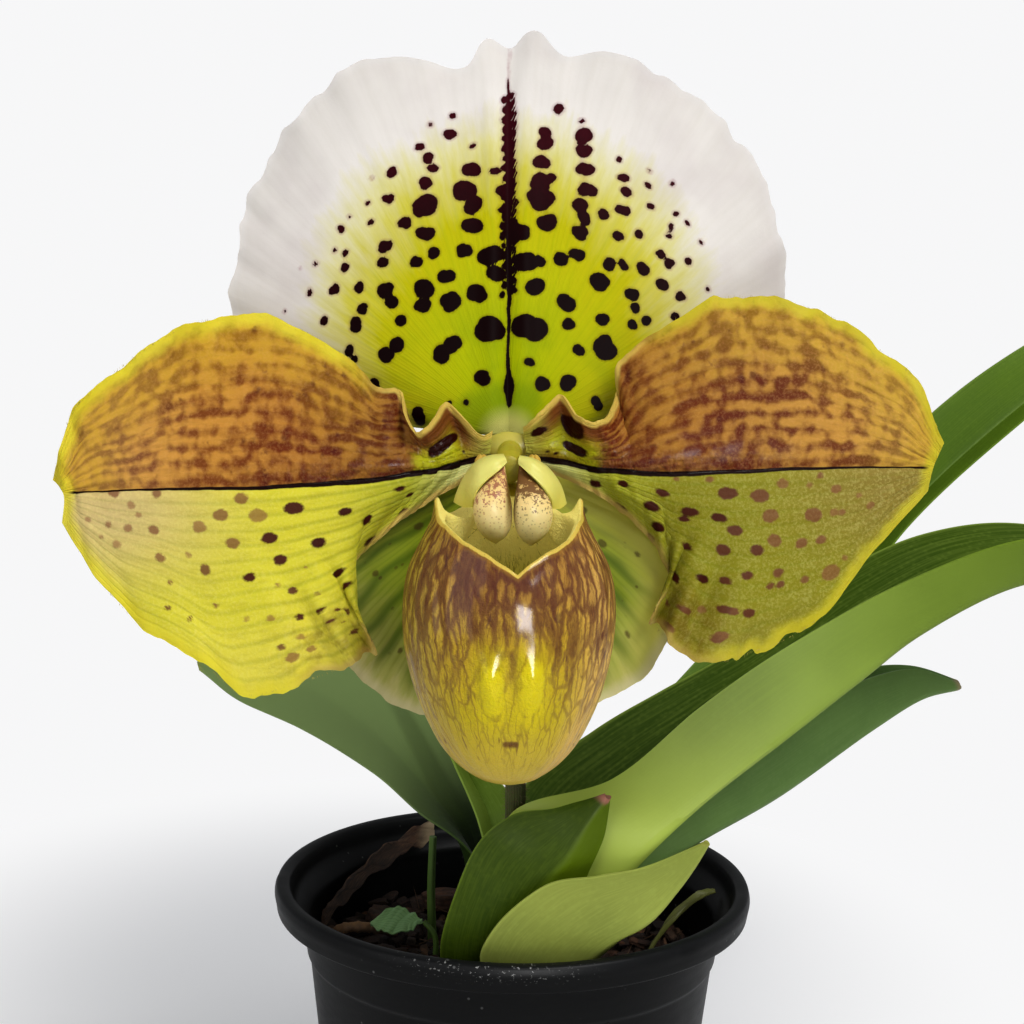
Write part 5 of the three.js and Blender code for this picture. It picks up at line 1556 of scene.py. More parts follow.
PETALS = {
    "petal_left": {
        "near": [
            (-2.9, 0.5, -2.6), (-5.1, 0.5, -3.5), (-7, 0.5, -4.8), (-9.6, 0.5, -6.3), (-12.1, 0.8, -7.9),
            (-14.5, 1, -9.4), (-17.4, 1.5, -11.7), (-20.4, 2.2, -14.4), (-23.8, 3, -18.6),
            (-21.6, 2.4, -24.3), (-18.9, 1.2, -27.4), (-21.8, 0.2, -29.9), (-29.4, -1, -32.7),
            (-37, 0, -34.4), (-44.3, 0.5, -28.8), (-51.9, 1, -24.6), (-58.2, 1, -17.6),
            (-62.9, 1.2, -10.1)],
        "keel": [
            (-2.7, 0, -0.9), (-3.6, 0, -1), (-4.6, -0.3, -1.3), (-6.4, -0.6, -1.7), (-8.1, -1, -2.1),
            (-9.8, -1.3, -2.6), (-11.7, -1.6, -3), (-14.2, -2, -3.4), (-17.8, -2.2, -4.1),
            (-22, -2.4, -4.5), (-31, -2.5, -5.1), (-35.9, -2.3, -5.4), (-41.3, -2, -5.4),
            (-47, -1.5, -5.5), (-52.2, -1, -5.6), (-56.8, -0.4, -5.8), (-60.2, 0.2, -5.9),
            (-62.6, 0.8, -6)],
        "far": [
            (-2.2, 0.2, 2.7), (-3.6, -0.6, 2.1), (-5.8, -0.9, 4), (-8.8, 0.5, 6.8), (-10.7, -2.4, 3.8),
            (-12.7, -3.4, 2.4), (-14.4, -2, 5.1), (-15.3, 0.5, 8.6), (-18.5, 0, 8.9), (-22, -0.5, 12.7),
            (-32.6, -1.5, 18.5), (-38.7, -1.5, 18.7), (-44.9, -1, 17.5), (-51.3, -0.5, 14),
            (-56.9, 0, 9.7), (-61.4, 0.5, 5.6), (-63.2, 1, -0.3), (-64.4, 1.5, -4.2)],
        "spots": [
            (-9.2, 0.7, 1.3, 1), (-6.3, -0.2, 0.2, 1), (-2.9, 3.2, 0.3, 1), (-13.9, -6.1, 0.4, 1),
            (-15.1, -5.2, 0.5, 1), (-22.7, -8.5, 0.7, 0.9), (-19.9, -9.6, 0.6, 1), (-14.8, -8.8, 0.6, 1),
            (-16.3, -10.9, 0.5, 1), (-19.5, -12.6, 0.6, 1), (-23.8, -17.1, 0.7, 1),
            (-22.6, -18.9, 0.4, 0.9), (-19.4, -14.3, 0.3, 0.9), (-29.9, -8.1, 0.8, 0.8),
            (-33.1, -12.2, 0.7, 0.8), (-26.3, -12.9, 0.7, 0.9), (-31.9, -15.4, 0.6, 0.8),
            (-36.1, -17.8, 0.5, 0.8), (-38.3, -13, 0.6, 0.5), (-40.1, -9.1, 0.6, 0.5),
            (-42.9, -10.8, 0.6, 0.4), (-37.2, -6.8, 0.6, 0.5), (-34.7, -9.1, 0.8, 0.4),
            (-42.3, -16.7, 0.5, 0.6), (-30, -19.6, 0.5, 0.7), (-28.2, -16.4, 0.2, 0.4),
            (-32.2, -18.9, 0.3, 0.4), (-29.3, -23.4, 0.4, 0.8), (-31.7, -27.5, 0.4, 0.6),
            (-44.6, -14.7, 0.3, 0.3), (-48.8, -15, 0.5, 0.5), (-49.4, -11.2, 0.5, 0.5),
            (-53.2, -10.9, 0.4, 0.4), (-56, -10.3, 0.3, 0.4), (-57.1, -12.1, 0.2, 0.4),
            (-54.8, -13.2, 0.4, 0.3), (-58.9, -9.7, 0.3, 0.3), (-47.4, -18.5, 0.3, 0.5),
            (-47.6, -22.1, 0.3, 0.6), (-44.5, -23.7, 0.3, 0.6), (-40.8, -21.8, 0.3, 0.5),
            (-36.5, -23.6, 0.3, 0.3), (-33, -23.4, 0.4, 0.3), (-26.5, -20.1, 0.3, 0.6),
            (-25.9, -22.4, 0.4, 0.8), (-24.7, -23.9, 0.3, 0.7), (-24, -22.4, 0.3, 0.7),
            (-22.7, -22.6, 0.3, 0.8), (-21.8, -25.5, 0.5, 0.7), (-27.6, -27.9, 0.5, 0.4),
            (-30.3, -29, 0.6, 0.4), (-29, -26.1, 0.4, 0.3), (-55.2, -6, 0.5, 0.5), (-49.1, -6.2, 0.4, 0.5),
            (-52.6, -7.7, 0.4, 0.3), (-51.6, -9.1, 0.3, 0.3), (-23.3, -24.1, 0.2, 0.6)],
        # the left petal's tones are partly its own colour and partly painted light: paler overall, with a
        # pale glare veil painted into its dull outer tone
        "tones": {
            "brown": [(0.2, (92, 36, 4)), (0.36, (118, 52, 12)), (0.5, (146, 76, 26)),
                      (0.68, (170, 106, 44)), (0.88, (192, 144, 94))],
            "sun": (214, 164, 74), "rind": (202, 166, 44), "green": (214, 206, 62),
            "dull": (208, 186, 128), "low": (224, 212, 84),
            "margin": ((212, 198, 30), (228, 216, 76)), "margin_width": 2.9,
        },
    },
    "petal_right": {
        "near": [
            (2.9, 0.5, -2.6), (4.8, 0.5, -2.8), (7, 0.5, -3.6), (9.6, 0.5, -4.6), (12.1, 0.8, -6),
            (14.7, 1, -7.6), (17.2, 1.5, -9.6), (19.7, 2.2, -12.1), (21.6, 3, -14.8), (23, 3.2, -19.4),
            (20.4, 1.4, -23.1), (22.4, 0.2, -26.9), (29.4, -1, -29.7), (34.3, 0, -28.4), (39, 0.5, -26.7),
            (44.8, 1, -22.8), (51.3, 1, -14.4), (59.3, 1.2, -5.6)],
        "keel": [
            (2.7, 0, -0.8), (4, 0, -1.1), (6.2, -0.3, -1.4), (8.7, -0.6, -1.8), (11.1, -1, -2.3),
            (13.1, -1.3, -2.6), (15.4, -1.6, -2.8), (17.6, -2, -3.1), (20.1, -2.2, -3.3),
            (22.8, -2.4, -3.4), (29.5, -2.5, -3.1), (33.7, -2.3, -3), (38.5, -2, -2.7), (43.6, -1.5, -2.6),
            (48.6, -1, -2.4), (52.9, -0.4, -2.4), (56.5, 0.2, -2.4), (60, 0.8, -2.5)],
        "far": [
            (2.2, 0.2, 3.2), (2.9, -0.8, 3.8), (4.6, -1, 5.4), (7.2, 0.5, 7.8), (9.4, -2.4, 5),
            (11.5, -3.4, 3.8), (13.7, -2, 4.7), (15.3, 0.5, 8.2), (15.2, 0, 11.5), (18.8, -0.5, 15.3),
            (28.5, -1.5, 20.9), (33.8, -1.5, 21.6), (39.8, -1, 20.7), (46.3, -0.5, 18.4), (52.3, 0, 14.1),
            (57.6, 0.5, 9.9), (60.1, 1, 4.3), (61.4, 1.5, 1)],
        "spots": [
            (9.4, 0.3, 1.1, 1), (4.2, 2.7, 0.7, 1), (9, 3.2, 1.4, 1), (5.6, -0.1, 0.2, 1),
            (6.7, -0.4, 0.2, 1), (21.5, -5.9, 0.7, 0.8), (16.2, -4.6, 0.5, 0.9), (12.4, -4.7, 0.6, 1),
            (12.5, -6, 0.5, 1), (9.3, -4.6, 0.5, 1), (8.6, -5.1, 0.3, 0.9), (15.8, -8, 0.7, 1),
            (20, -7.7, 0.7, 0.9), (25.5, -8.5, 0.7, 0.8), (24.5, -9.5, 0.5, 0.8), (20.9, -10.5, 0.6, 1),
            (20.3, -12.3, 0.5, 1), (20.8, -14.4, 0.4, 0.9), (25.1, -13.4, 0.6, 0.8), (30.6, -6, 0.8, 0.7),
            (34.9, -6.3, 0.8, 0.6), (29.5, -9.4, 0.7, 0.8), (31.5, -11.2, 0.7, 0.7),
            (30.1, -13.9, 0.7, 0.7), (36.4, -9.1, 0.7, 0.5), (34.7, -13.9, 0.6, 0.7),
            (38.1, -4.7, 0.5, 0.4), (37.1, -12.6, 0.6, 0.5), (41, -12.9, 0.5, 0.5), (42.5, -8.9, 0.7, 0.5),
            (43.9, -12.4, 0.5, 0.5), (45.7, -5.4, 0.5, 0.4), (45.6, -8.6, 0.4, 0.3),
            (46.7, -8.7, 0.3, 0.4), (50.8, -7.7, 0.4, 0.3), (43.5, -3.6, 0.3, 0.5), (42, -4.8, 0.3, 0.3),
            (49.1, -6.3, 0.3, 0.3), (23.6, -17.7, 0.6, 0.9), (27, -17.9, 0.6, 0.9),
            (30.5, -18.2, 0.6, 0.7), (33.4, -17.5, 0.5, 0.7), (37.7, -17.1, 0.5, 0.6),
            (36.5, -18.9, 0.4, 0.6), (38, -18.7, 0.4, 0.6), (41.6, -18, 0.4, 0.5), (45.3, -17.1, 0.8, 0.4),
            (30.2, -22.3, 0.6, 0.7), (31.5, -22.6, 0.5, 0.6), (33.4, -22.7, 0.6, 0.7),
            (24.6, -22.3, 0.5, 0.6), (22.5, -24.7, 0.5, 0.6), (22.6, -21.5, 0.4, 0.6),
            (27.2, -22.3, 0.6, 0.3), (28.9, -26.4, 0.6, 0.6), (29.8, -25.8, 0.6, 0.5),
            (47.2, -15, 0.3, 0.3), (28, -4.2, 0.4, 0.5), (23.4, -4.1, 0.3, 0.5)],
        # the right petal's tones are partly its own colour and partly painted shade: darker overall, as for
        # a petal turned from the light
        "tones": {
            "brown": [(0.18, (122, 58, 18)), (0.36, (132, 66, 26)), (0.56, (122, 62, 26)),
                      (0.74, (146, 92, 42)), (0.88, (160, 122, 66))],
            "sun": (212, 166, 76), "rind": (196, 164, 56), "green": (142, 138, 36),
            "dull": (142, 124, 58), "low": (146, 138, 50),
            "margin": ((196, 184, 30), (206, 194, 70)), "margin_width": 2.4,
        },
    },
}


class ORCHID_OT_petals(bpy.types.Operator):
    """Spread the two mottled petals with ruffled, finely hairy margins"""
    bl_idname = "orchid.petals"
    bl_label = "Petals"

    def execute(self, context):
        for i, (node, petal) in enumerate(PETALS.items()):
            self.petal(node, petal, 200 + 20 * i)
        return {"FINISHED"}

    def petal(self, node, petal, seed):
        ruffle = sizes().ruffle
        piece, u, v = grid(node.replace("petal", "petal_sheet"), columns=112, rows=232)
        surface = folded([petal[key] for key in ("near", "keel", "far")], 0.32)
        points = surface(u, v)
        spine = surface(np.full_like(u, 0.5), v)
        s = 2 * u - 1
        outward = points - spine
        width = np.linalg.norm(outward, axis=1)
        corner = np.exp(-((v - 0.6) / 0.085) ** 2) * smooth(-0.3, -1, s)
        lace = (0.016 * waves(v * 60, seed) + 0.01 * waves(v * 130, seed + 1)) * (1 + 0.7 * (s < 0))
        teeth = 0.03 * waves(v * 100, seed + 6, 2)
        points += outward * (np.abs(s) ** 6 * lace + corner * np.abs(s) ** 4 * teeth)[:, None]
        margin = edge_distance(points, u, v)
        near_edge = 1 - smooth(0, 9, margin)
        opened = smooth(0.08, 0.3, v)
        span = surface(np.zeros_like(u), v) - surface(np.ones_like(u), v)
        broad = smooth(1, 9, np.linalg.norm(span, axis=1))
        points[:, 1] += ruffle * near_edge**1.5 * opened * broad * (
            0.8 * waves(v * 24 + 2 * s, seed + 2) + 0.35 * waves(v * 60, seed + 3))
        pleats = np.sin(v * 82 + 4 * s) + 0.5 * np.sin(v * 141 - 3 * s)
        points[:, 1] += ruffle * corner * 1.7 * (pleats - 0.7)
        rows = 0.06 * np.sin(s * 34 + 0.6 * waves(v * 8, seed + 4))
        points[:, 1] += rows * smooth(0.1, 0.25, v) * smooth(0, 3, margin) * broad**2
        points[:, 1] += 0.45 * waves(v * 9 + 1.5 * s, seed + 5) * smooth(0.2, 0.5, np.abs(s)) * broad
        keel = np.where(s >= 0, width, -width)
        points[:, 1] += 0.4 * np.exp(-(keel / 0.8) ** 2) * (1 - smooth(0.9, 1, v))
        frill = smooth(-0.1, 1, s) * (1 - smooth(13, 19, np.abs(points[:, 0])))
        points[:, 1] -= 1.1 * ruffle * frill**4 * smooth(0, 0.12, v)
        spots = petal_spots(petal["spots"], surface, points, u, v)
        field, strength = spot_field(points[:, 0], points[:, 2], spots)
        field = np.where((s < 0.12) | (np.abs(points[:, 0]) < 13), field, -3)
        place_in_flower(piece, points)
        record(piece, "lie", np.stack([keel, margin, v], 1))
        record(piece, "spot", np.stack([field, strength, field * 0], 1))
        thicken(piece, TEPAL_THICKNESS, 0.3 + 0.7 * smooth(0, 4, margin))
        finish_piece(piece, petal_material(node, petal["tones"]), "petal", node)
        self.margin_hairs(node, surface, seed)

    def margin_hairs(self, node, surface, seed):
        """Fine short hairs along the margin."""
        dice = np.random.default_rng(seed)
        count = MARGIN_HAIR_COUNT
        v = np.sqrt(dice.uniform(0.03, 0.995, count))
        u = np.where(dice.random(count) < 0.5, 0, 1)
        roots = surface(u, v)
        outward = roots - surface(np.where(u < 0.5, 0.1, 0.9), v)
        outward /= np.linalg.norm(outward, axis=1)[:, None]
        ahead = outward + dice.normal(0, 0.35, roots.shape)
        roots = roots - outward * 0.25
        piece = hairs(node.replace("petal", "petal_hairs"), out_of_flower(roots), ahead @ FLOWER_TURN,
                      dice.uniform(0.25, 0.55, count), root_radius=0.03, seed=seed)
        finish_piece(piece, plain_fibre_material(node + "_hair", (214, 196, 96)), "petal")


def petal_material(node, tones):
    """Brown netting in rows above the dark midline, spotted yellow-green below, olive-yellow margins."""
    material, n, wire = new_material(node + "_tissue", Subsurface_Weight=0.04, Subsurface_Scale=0.001,
        Specular_IOR_Level=0.06, Coat_Roughness=0.2)
    own = n.place("own")
    x, _, z = n.split(own)
    keel, margin, _ = n.split(n.place("lie"))
    u, v = n.uv()
    out = abs(x)
    drift = n.noise(n.vector(x * 0.09, z * 0.09), 1, 1)
    fan = u * 21 + (drift - 0.5) * 1.6
    between = n.math("PINGPONG", fan, 0.5) * 2
    beads = n.noise(n.vector(fan * 0.95, x * 0.5 + drift), 1, 1, 0.5)
    small = n.cells(n.vector(fan, x * 0.56, 4), 1, randomness=0.8)
    lines = n.noise(n.vector(u * 54, x * 0.2), 1, 3, 0.6)
    cloud = n.noise(own, 0.11, 3)
    patch = n.noise(own, 0.34, 3, 0.6)
    grain = n.group("Cell grain", Vector=own, Size=2.4)
    light = n.group("Cell grain", output=1, Vector=own, Size=2.4)

    upper = n.step(keel, -0.05, 0.12)
    outer = n.step(out, 17, 50)
    base = n.ramp(out * 0.016, *tones["brown"])
    amount = (0.5 - between) * 0.4 + (beads - 0.5) * 1.7
    amount = amount + (patch - 0.5) * 0.9
    amount = amount + (cloud - 0.5) * 0.8
    net = n.step(amount, -0.34, 0.34)
    lit = n.mix(n.step(out, 16, 44, 0.36, 0.64), base, tones["sun"])
    above = n.mix(net, lit, n.mix(0.6, base, (88, 28, 14)))
    above = n.mix(n.step(lines, 0.46, 0.72) * 0.18, above, (92, 36, 16))
    olive = n.step(margin + (patch - 0.5) * 9, 13, 1.5) * n.step(out, 14, 30)
    above = n.mix(olive * (0.64 + net * -0.26), above, tones["rind"])
    flush = n.step(keel, 6.5, 0.3) * n.step(out, 46, 20)
    above = n.mix(flush * n.step(patch, 0.34, 0.6, 0.15, 0.6), above, (88, 28, 10))
    rare = n.step(small, 0.4, 0.12) * n.step(patch, 0.5, 0.6)
    above = n.mix(rare * n.step(out, 58, 24, 0.35, 0.72), above, (78, 22, 20))

    below = n.mix(n.step(out, 30, 56) * n.step(keel, -20, -3), tones["green"], tones["dull"])
    below = n.mix(n.step(keel, -14, -30), below, tones["low"])
    below = n.mix(n.step(out, 26, 12), below, (176, 178, 50))
    below = n.mix(n.step(out, 15, 5), below, (206, 206, 140))
    vein = n.group("Fine veins", Across=u, Along=v * 3, Count=26, Wander=0.7, Width=0.26)
    below = n.mix(vein * n.step(out, 50, 14, 0.12, 0.38), below, (122, 130, 20))
    below = n.mix(n.step(lines, 0.45, 0.75) * 0.22, below, (138, 126, 26))
    corner = n.step(keel, -15, -22) * n.step(out, 36, 24)
    below = n.mix(corner * n.step(patch, 0.42, 0.62, 0.1, 0.5), below, (112, 80, 20))
    tone = n.mix(upper, below, above)
    tone = n.mix(light * (0.1 + outer * 0.07), tone, n.mix(upper, (238, 232, 150), (222, 172, 104)))

    yellow = n.mix(cloud, *tones["margin"])
    wavy = margin + (patch - 0.5) * 2
    edging = n.step(wavy, tones["margin_width"], 0.4) * n.step(out, 17, 25)
    low_inner = (1 - upper) * n.step(out, 34, 22)
    tone = n.mix(edging * (0.85 - low_inner * 0.6), tone, yellow)

    inside, strength, _ = n.split(n.place("spot"))
    mask = n.group("Pigment edge", Field=inside, Vector=own, Grain=1.5, Wobble=0.26, Softness=0.2)
    spot_tone = n.mix(n.step(strength, 0.25, 1), (140, 84, 66), (60, 18, 6))
    opacity = mask * n.step(strength, 0.1, 0.85, 0.5, 1)
    tone = n.mix(opacity * (1 - upper), tone, spot_tone)
    heart = n.step(out + (patch - 0.5) * 6, 14, 11.5)
    frill = n.step(margin, 4.4, 1.6)
    heart_tone = n.mix(frill, (178, 176, 30), (120, 72, 28))
    heart_tone = n.mix(n.step(out, 6.5, 2.5), heart_tone, (186, 182, 82))
    heart_tone = n.mix(n.step(lines, 0.4, 0.7) * (frill * 0.5), heart_tone, (96, 50, 16))
    heart_tone = n.mix(mask, heart_tone, (46, 8, 2))
    tone = n.mix(heart * upper, tone, heart_tone)
    rolled = n.step(margin, 1, 0.45) * n.step(out, 22, 15)
    tone = n.mix(rolled * 0.85, tone, (218, 192, 98))
    crimp = n.step(margin, 1.4, 0.2) * ((1 - upper) * n.step(out, 32, 24))
    tone = n.mix(crimp * 0.6, tone, (200, 172, 104))
    width = n.step(out, 6, 62, 0.5, 0.12)
    ragged = abs(keel + (patch - 0.5) * 0.4)
    line = n.step(ragged, width + 0.2, width) * n.step(margin, 0.4, 1.6)
    tone = n.mix(line * n.step(out, 2, 4), tone, (28, 5, 2))

    wet = flush * upper * n.step(patch, 0.4, 0.6)
    rough = 0.5 - (wet * 0.12 + light * 0.1)
    ridges = vein * -0.3 + net * (upper * -0.5)
    relief = ridges + (grain * 0.5 + patch * wet * 4)
    wire(Base_Color=tone, Roughness=rough, Normal=n.bump(relief, 0.13), Coat_Weight=wet * 0.24)
    return material


# --- pouch

POUCH_TOE = (0.1, -16.5, -44.8)
POUCH_HALF_WIDTH = [
    (-44.8, 0), (-44.4, 2.4), (-43, 5.2), (-40.5, 8), (-36, 10.7), (-31, 12.7), (-26, 13.8),
    (-21, 14.2), (-16, 13.4), (-12, 11.5), (-9, 10), (-6, 9), (-3, 5),
]
POUCH_FRONT = [
    (-44.8, -16.5), (-44.4, -18.8), (-43, -21.2), (-38, -24.8), (-30, -27.4), (-22, -28),
    (-16, -27), (-10, -25), (-3, -20),
]
POUCH_BACK = [
    (-44.8, -16.5), (-44.4, -14.6), (-43, -12.4), (-38, -8.6), (-31, -5.6), (-24, -3.6),
    (-16, -2.2), (-3, -1.6),
]
RIM_HEIGHT = [
    (0, -16.9), (6, -15.8), (16, -14.3), (30, -13), (41, -11.9), (55, -10.5), (70, -9.4),
    (84, -8.4), (92, -8.5), (108, -9.8), (140, -8), (165, -4), (180, -3.3),
]
FOLD_DEPTH = [
    (0, 0.2), (60, 0.5), (78, 0.9), (88, 2.2), (98, 4.3), (110, 4.8), (122, 4.2), (140, 2.6), (180, 0.4),
]


class ORCHID_OT_pouch(bpy.types.Operator):
    """Blow up the veined pouch with its rolled rim, notch, horns and infolded lobes"""
    bl_idname = "orchid.pouch"
    bl_label = "Pouch"

    def execute(self, context):
        columns, rows = 212, 212
        angle = np.linspace(-180, 180, columns + 1)
        heading = np.radians(angle)
        skew = np.abs(angle - 5 * np.cos(heading / 2))
        top = through(RIM_HEIGHT)(skew)
        depth = through(FOLD_DEPTH)(np.abs(angle))
        horn = np.exp(-((np.abs(angle) - 86) / 7) ** 2)
        flap = np.exp(-((np.abs(angle) - 107) / 13) ** 2)

        def ring(z, inset):
            front, back = through(POUCH_FRONT)(z), through(POUCH_BACK)(z)
            half_depth = np.maximum((back - front) / 2 - inset, 0.05)
            half_width = np.maximum(through(POUCH_HALF_WIDTH)(z) - inset, 0.05)
            x = POUCH_TOE[0] + half_width * np.sin(heading)
            return np.stack([x, (front + back) / 2 - half_depth * np.cos(heading), z], 1)

        falls = [0.1, 0.2, 0.3, 0.42, 0.54, 0.66, 0.77, 0.86, 0.93, 0.97, 0.99]
        toe = POUCH_TOE[2]

        def wall(fall, inset):
            return ring(top + (toe + 0.2 + inset - top) * fall, np.full_like(angle, inset))

        rings = [np.tile((POUCH_TOE[0], POUCH_TOE[1], toe + 1), (columns + 1, 1))]
        rings += [wall(fall, 1) for fall in reversed(falls)]
        rings += [
            ring(top - 0.5 * depth - 0.9, depth * 0.9 + 0.95),
            ring(top - 0.5 * depth - 0.45 + 2.4 * flap, depth + 0.85),
            ring(top - 0.45 * depth - 0.1 + 3.4 * flap, depth + 0.6),
            ring(top - 0.35 * depth + 0.15 + 0.5 * horn + 0.5 * flap, 0.5 * depth + 0.3),
            ring(top + 0.15 + 1.5 * horn, 0.22 - 0.3 * horn),
            ring(top + 0.05 + 1.4 * horn, 0 - 0.38 * horn),
            ring(top - 0.4 + 0.8 * horn, -0.06 - 0.24 * horn),
            ring(top - 1.3, -0.02 - 0.1 * horn),
        ]
        lip_rows = len(rings)
        rings += [wall(fall, 0) for fall in falls]
        rings.append(np.tile(POUCH_TOE, (columns + 1, 1)))
        lines = rail(rings)

        piece, u, v = grid("pouch_shell", columns, rows)
        i, j = indices(u, v, columns, rows)
        points = lines(np.arange(rows + 1) / rows)[j, i]
        row = v * (len(rings) - 1)
        outside = smooth(lip_rows - 4.2, lip_rows - 3.2, row)
        compass = heading[i]
        from_rim = np.linalg.norm(points - rings[lip_rows - 3][i], axis=1)
        pleats = np.sin(compass * 30 + 0.6 * waves(points[:, 2] * 0.25, 301))
        swell = 0.05 * pleats * smooth(0.1, 0.6, np.abs(compass))
        swell = swell + 0.12 * waves(compass * 5 + points[:, 2] * 0.12, 302)
        low = np.exp(-((points[:, 2] + 31) / 3.2) ** 2)
        cheeks = np.exp(-((compass + 0.17) / 0.11) ** 2) + np.exp(-((compass - 0.23) / 0.11) ** 2)
        swell = swell + 0.85 * low * cheeks
        swell = swell - 0.2 * np.exp(-(compass / 0.1) ** 2) * smooth(-26, -32, points[:, 2])
        hub = np.stack([np.full(len(u), POUCH_TOE[0]), np.full(len(u), -15.5), points[:, 2]], 1)
        out = points - hub
        out /= np.maximum(np.linalg.norm(out, axis=1), 1e-6)[:, None]
        calm = smooth(0.8, 4, from_rim) * smooth(toe, toe + 4, points[:, 2])
        points = points + out * (swell * calm)[:, None]
        rim_wave = 0.18 * waves(compass * 9, 303) * (1 - smooth(0, 2.5, from_rim))
        points[:, 2] += rim_wave
        place_in_flower(piece, points)
        record(piece, "lie", np.stack([compass, points[:, 2], outside], 1))
        record(piece, "rim", from_rim)
        weld(piece)
        finish_piece(piece, pouch_material(), "pouch", "pouch")
        self.inner_hairs()
        return {"FINISHED"}

    def inner_hairs(self):
        """Soft hairs on the pouch's inner back wall."""
        dice = np.random.default_rng(310)
        count = POUCH_HAIR_COUNT
        compass = dice.normal(pi, 0.75, count)
        z = dice.uniform(-30, -9, count)
        front, back = through(POUCH_FRONT)(z), through(POUCH_BACK)(z)
        half_depth, half_width = (back - front) / 2 - 0.95, through(POUCH_HALF_WIDTH)(z) - 0.95
        roots = np.stack([POUCH_TOE[0] + half_width * np.sin(compass),
                          (front + back) / 2 - half_depth * np.cos(compass), z], 1)
        ahead = np.stack([-np.sin(compass), np.cos(compass), dice.normal(0.5, 0.3, count)], 1)
        piece = hairs("pouch_hairs", out_of_flower(roots), ahead @ FLOWER_TURN,
            dice.uniform(0.9, 2.4, count), root_radius=0.06, seed=311)
        finish_piece(piece, plain_fibre_material("pouch_hair", (196, 190, 80)), "pouch")


def pouch_material():
    """Glossy yellow under brown and violet netting that runs down from the rim, with painted shade round
    the two swellings of its yellow heart and a painted glow on the inside.
    """
    material, n, wire = new_material("pouch_tissue", Subsurface_Weight=0.04, Subsurface_Scale=0.001,
        Specular_IOR_Level=0.1, Coat_Roughness=0.12, Emission_Strength=1)
    own = n.place("own")
    compass, z, outside = n.split(n.place("lie"))
    rim = n.number("rim")
    cloud = n.noise(own, 0.13, 3)
    patch = n.noise(own, 0.3, 3, 0.6)
    streak = n.noise(n.vector(compass * 8.5, z * 0.14), 1, 4, 0.62, 0.35)
    second = n.noise(n.vector(compass * 16, z * 0.24, 5), 1, 3, 0.6, 0.5)
    bed = n.vector(compass * 10.5 + patch * 1.6, z * 0.22 + cloud * 1.6)
    cells = n.cells(bed, 1, feature="DISTANCE_TO_EDGE")
    aside = abs(compass - 0.03)
    ground = n.ramp((z + 46) / 36, (0, (204, 178, 78)), (0.14, (204, 180, 56)), (0.3, (198, 178, 10)),
        (0.5, (198, 168, 26)), (0.75, (196, 154, 66)), (1, (184, 134, 66)))
    flank = n.mix(n.step(compass, -0.3, 0.3), (190, 164, 66), (224, 182, 98))
    ground = n.mix(n.step(aside, 0.45, 1.1) * 0.8, ground, flank)
    lobes = abs(aside - 0.2)
    heart = n.step(lobes, 0.26, 0.08) * (n.step(z, -38.5, -34) * n.step(z, -23, -28.5))
    swelling = (lobes * 8.4) ** 2 + abs((z + 31.2) * 0.28) ** 2
    ground = n.mix(heart * n.step(patch, 0.34, 0.6, 0.35, 0.95), ground, (220, 202, 0))
    top = n.step(z, -34, -19)
    shade = (streak - 0.5) * 1.6 + (cloud - 0.5) * 1.4
    shade = shade + n.step(aside, 0.9, 0.1) * 0.35
    wash = top * n.step(aside, 0.4, 1.2, 1, 0.55) * n.step(shade, -0.35, 0.85)
    tone = n.mix(wash * 0.66, ground, (98, 44, 6))
    reach = n.step(z, -43, -19, 0.06, 0.36) + (streak - 0.5) * 0.35
    net = n.step(cells, reach * 0.8, reach * 0.1) * (1 - heart * 0.75)
    net = net * n.step(z, -44, -36, 0.15, 1)
    tone = n.mix(net * (0.4 + top * 0.35), tone, n.mix(cloud, (92, 36, 14), (96, 44, 44)))
    amount = (n.step(z, -43, -24) * 0.85 + 0.1) * (1 - heart * 0.8)
    blotch = n.step(streak + (patch - 0.5) * 0.4, 0.54, 0.68)
    tone = n.mix(blotch * (amount * 0.5), tone, (92, 38, 22))
    fine = n.step(abs(second - 0.5), 0.045, 0)
    tone = n.mix(fine * (amount * 0.42), tone, (86, 42, 24))
    violet = n.step(second, 0.55, 0.66) * n.step(patch, 0.46, 0.62)
    tone = n.mix(violet * (amount * 0.6), tone, (74, 32, 42))
    dash = n.noise(n.vector(compass * 13, z * 0.3, 9), 1, 2)
    spare = n.step(z, -43.5, -38) * (1 - heart * 0.8)
    tone = n.mix(n.step(dash, 0.64, 0.72) * spare * 0.6, tone, (92, 44, 30))
    sag = z + (38.7 + (patch - 0.5) * 1.6)
    lumpy = swelling + (patch - 0.5) * 3.4
    # painted shade: a darker ring round the two swellings of the yellow heart, where their sides turn from
    # the light
    swelling_edge_shade = n.step(abs(lumpy - 1.3), 0.5, 0.05) * n.step(second, 0.42, 0.6)
    tone = n.mix(swelling_edge_shade * 0.4, tone, (116, 76, 14))
    tone = n.mix(n.step(lumpy, 1.5, 0.3) * 0.75, tone, (224, 208, 4))
    toe_mark = n.step(abs(sag), 0.62, 0.15) * n.step(aside + (patch - 0.5) * 0.2, 0.11, 0.05)
    tone = n.mix(toe_mark * 0.8, tone, (96, 44, 16))
    ragged = rim + (patch - 0.5) * 0.5
    tone = n.mix(n.step(ragged, 1.2, 0.4) * 0.4, tone, (178, 136, 44))
    tone = n.mix(n.step(ragged, 0.5, 0.3) * 0.95, tone, (222, 196, 92))
    inner = n.mix(n.step(z, -9, -22), (226, 212, 124), (168, 158, 22))
    inner_vein = n.step(abs(second - 0.5), 0.05, 0) * n.step(z, -13, -18)
    inner = n.mix(inner_vein * 0.75, inner, (84, 74, 8))
    tone = n.mix(outside, inner, tone)
    grain = n.group("Cell grain", Vector=own, Size=2.6)
    rough = 0.36 + (cloud * 0.12 + grain * 0.06)
    relief = streak * 0.3 + (patch * 0.6 + grain * 1.9)
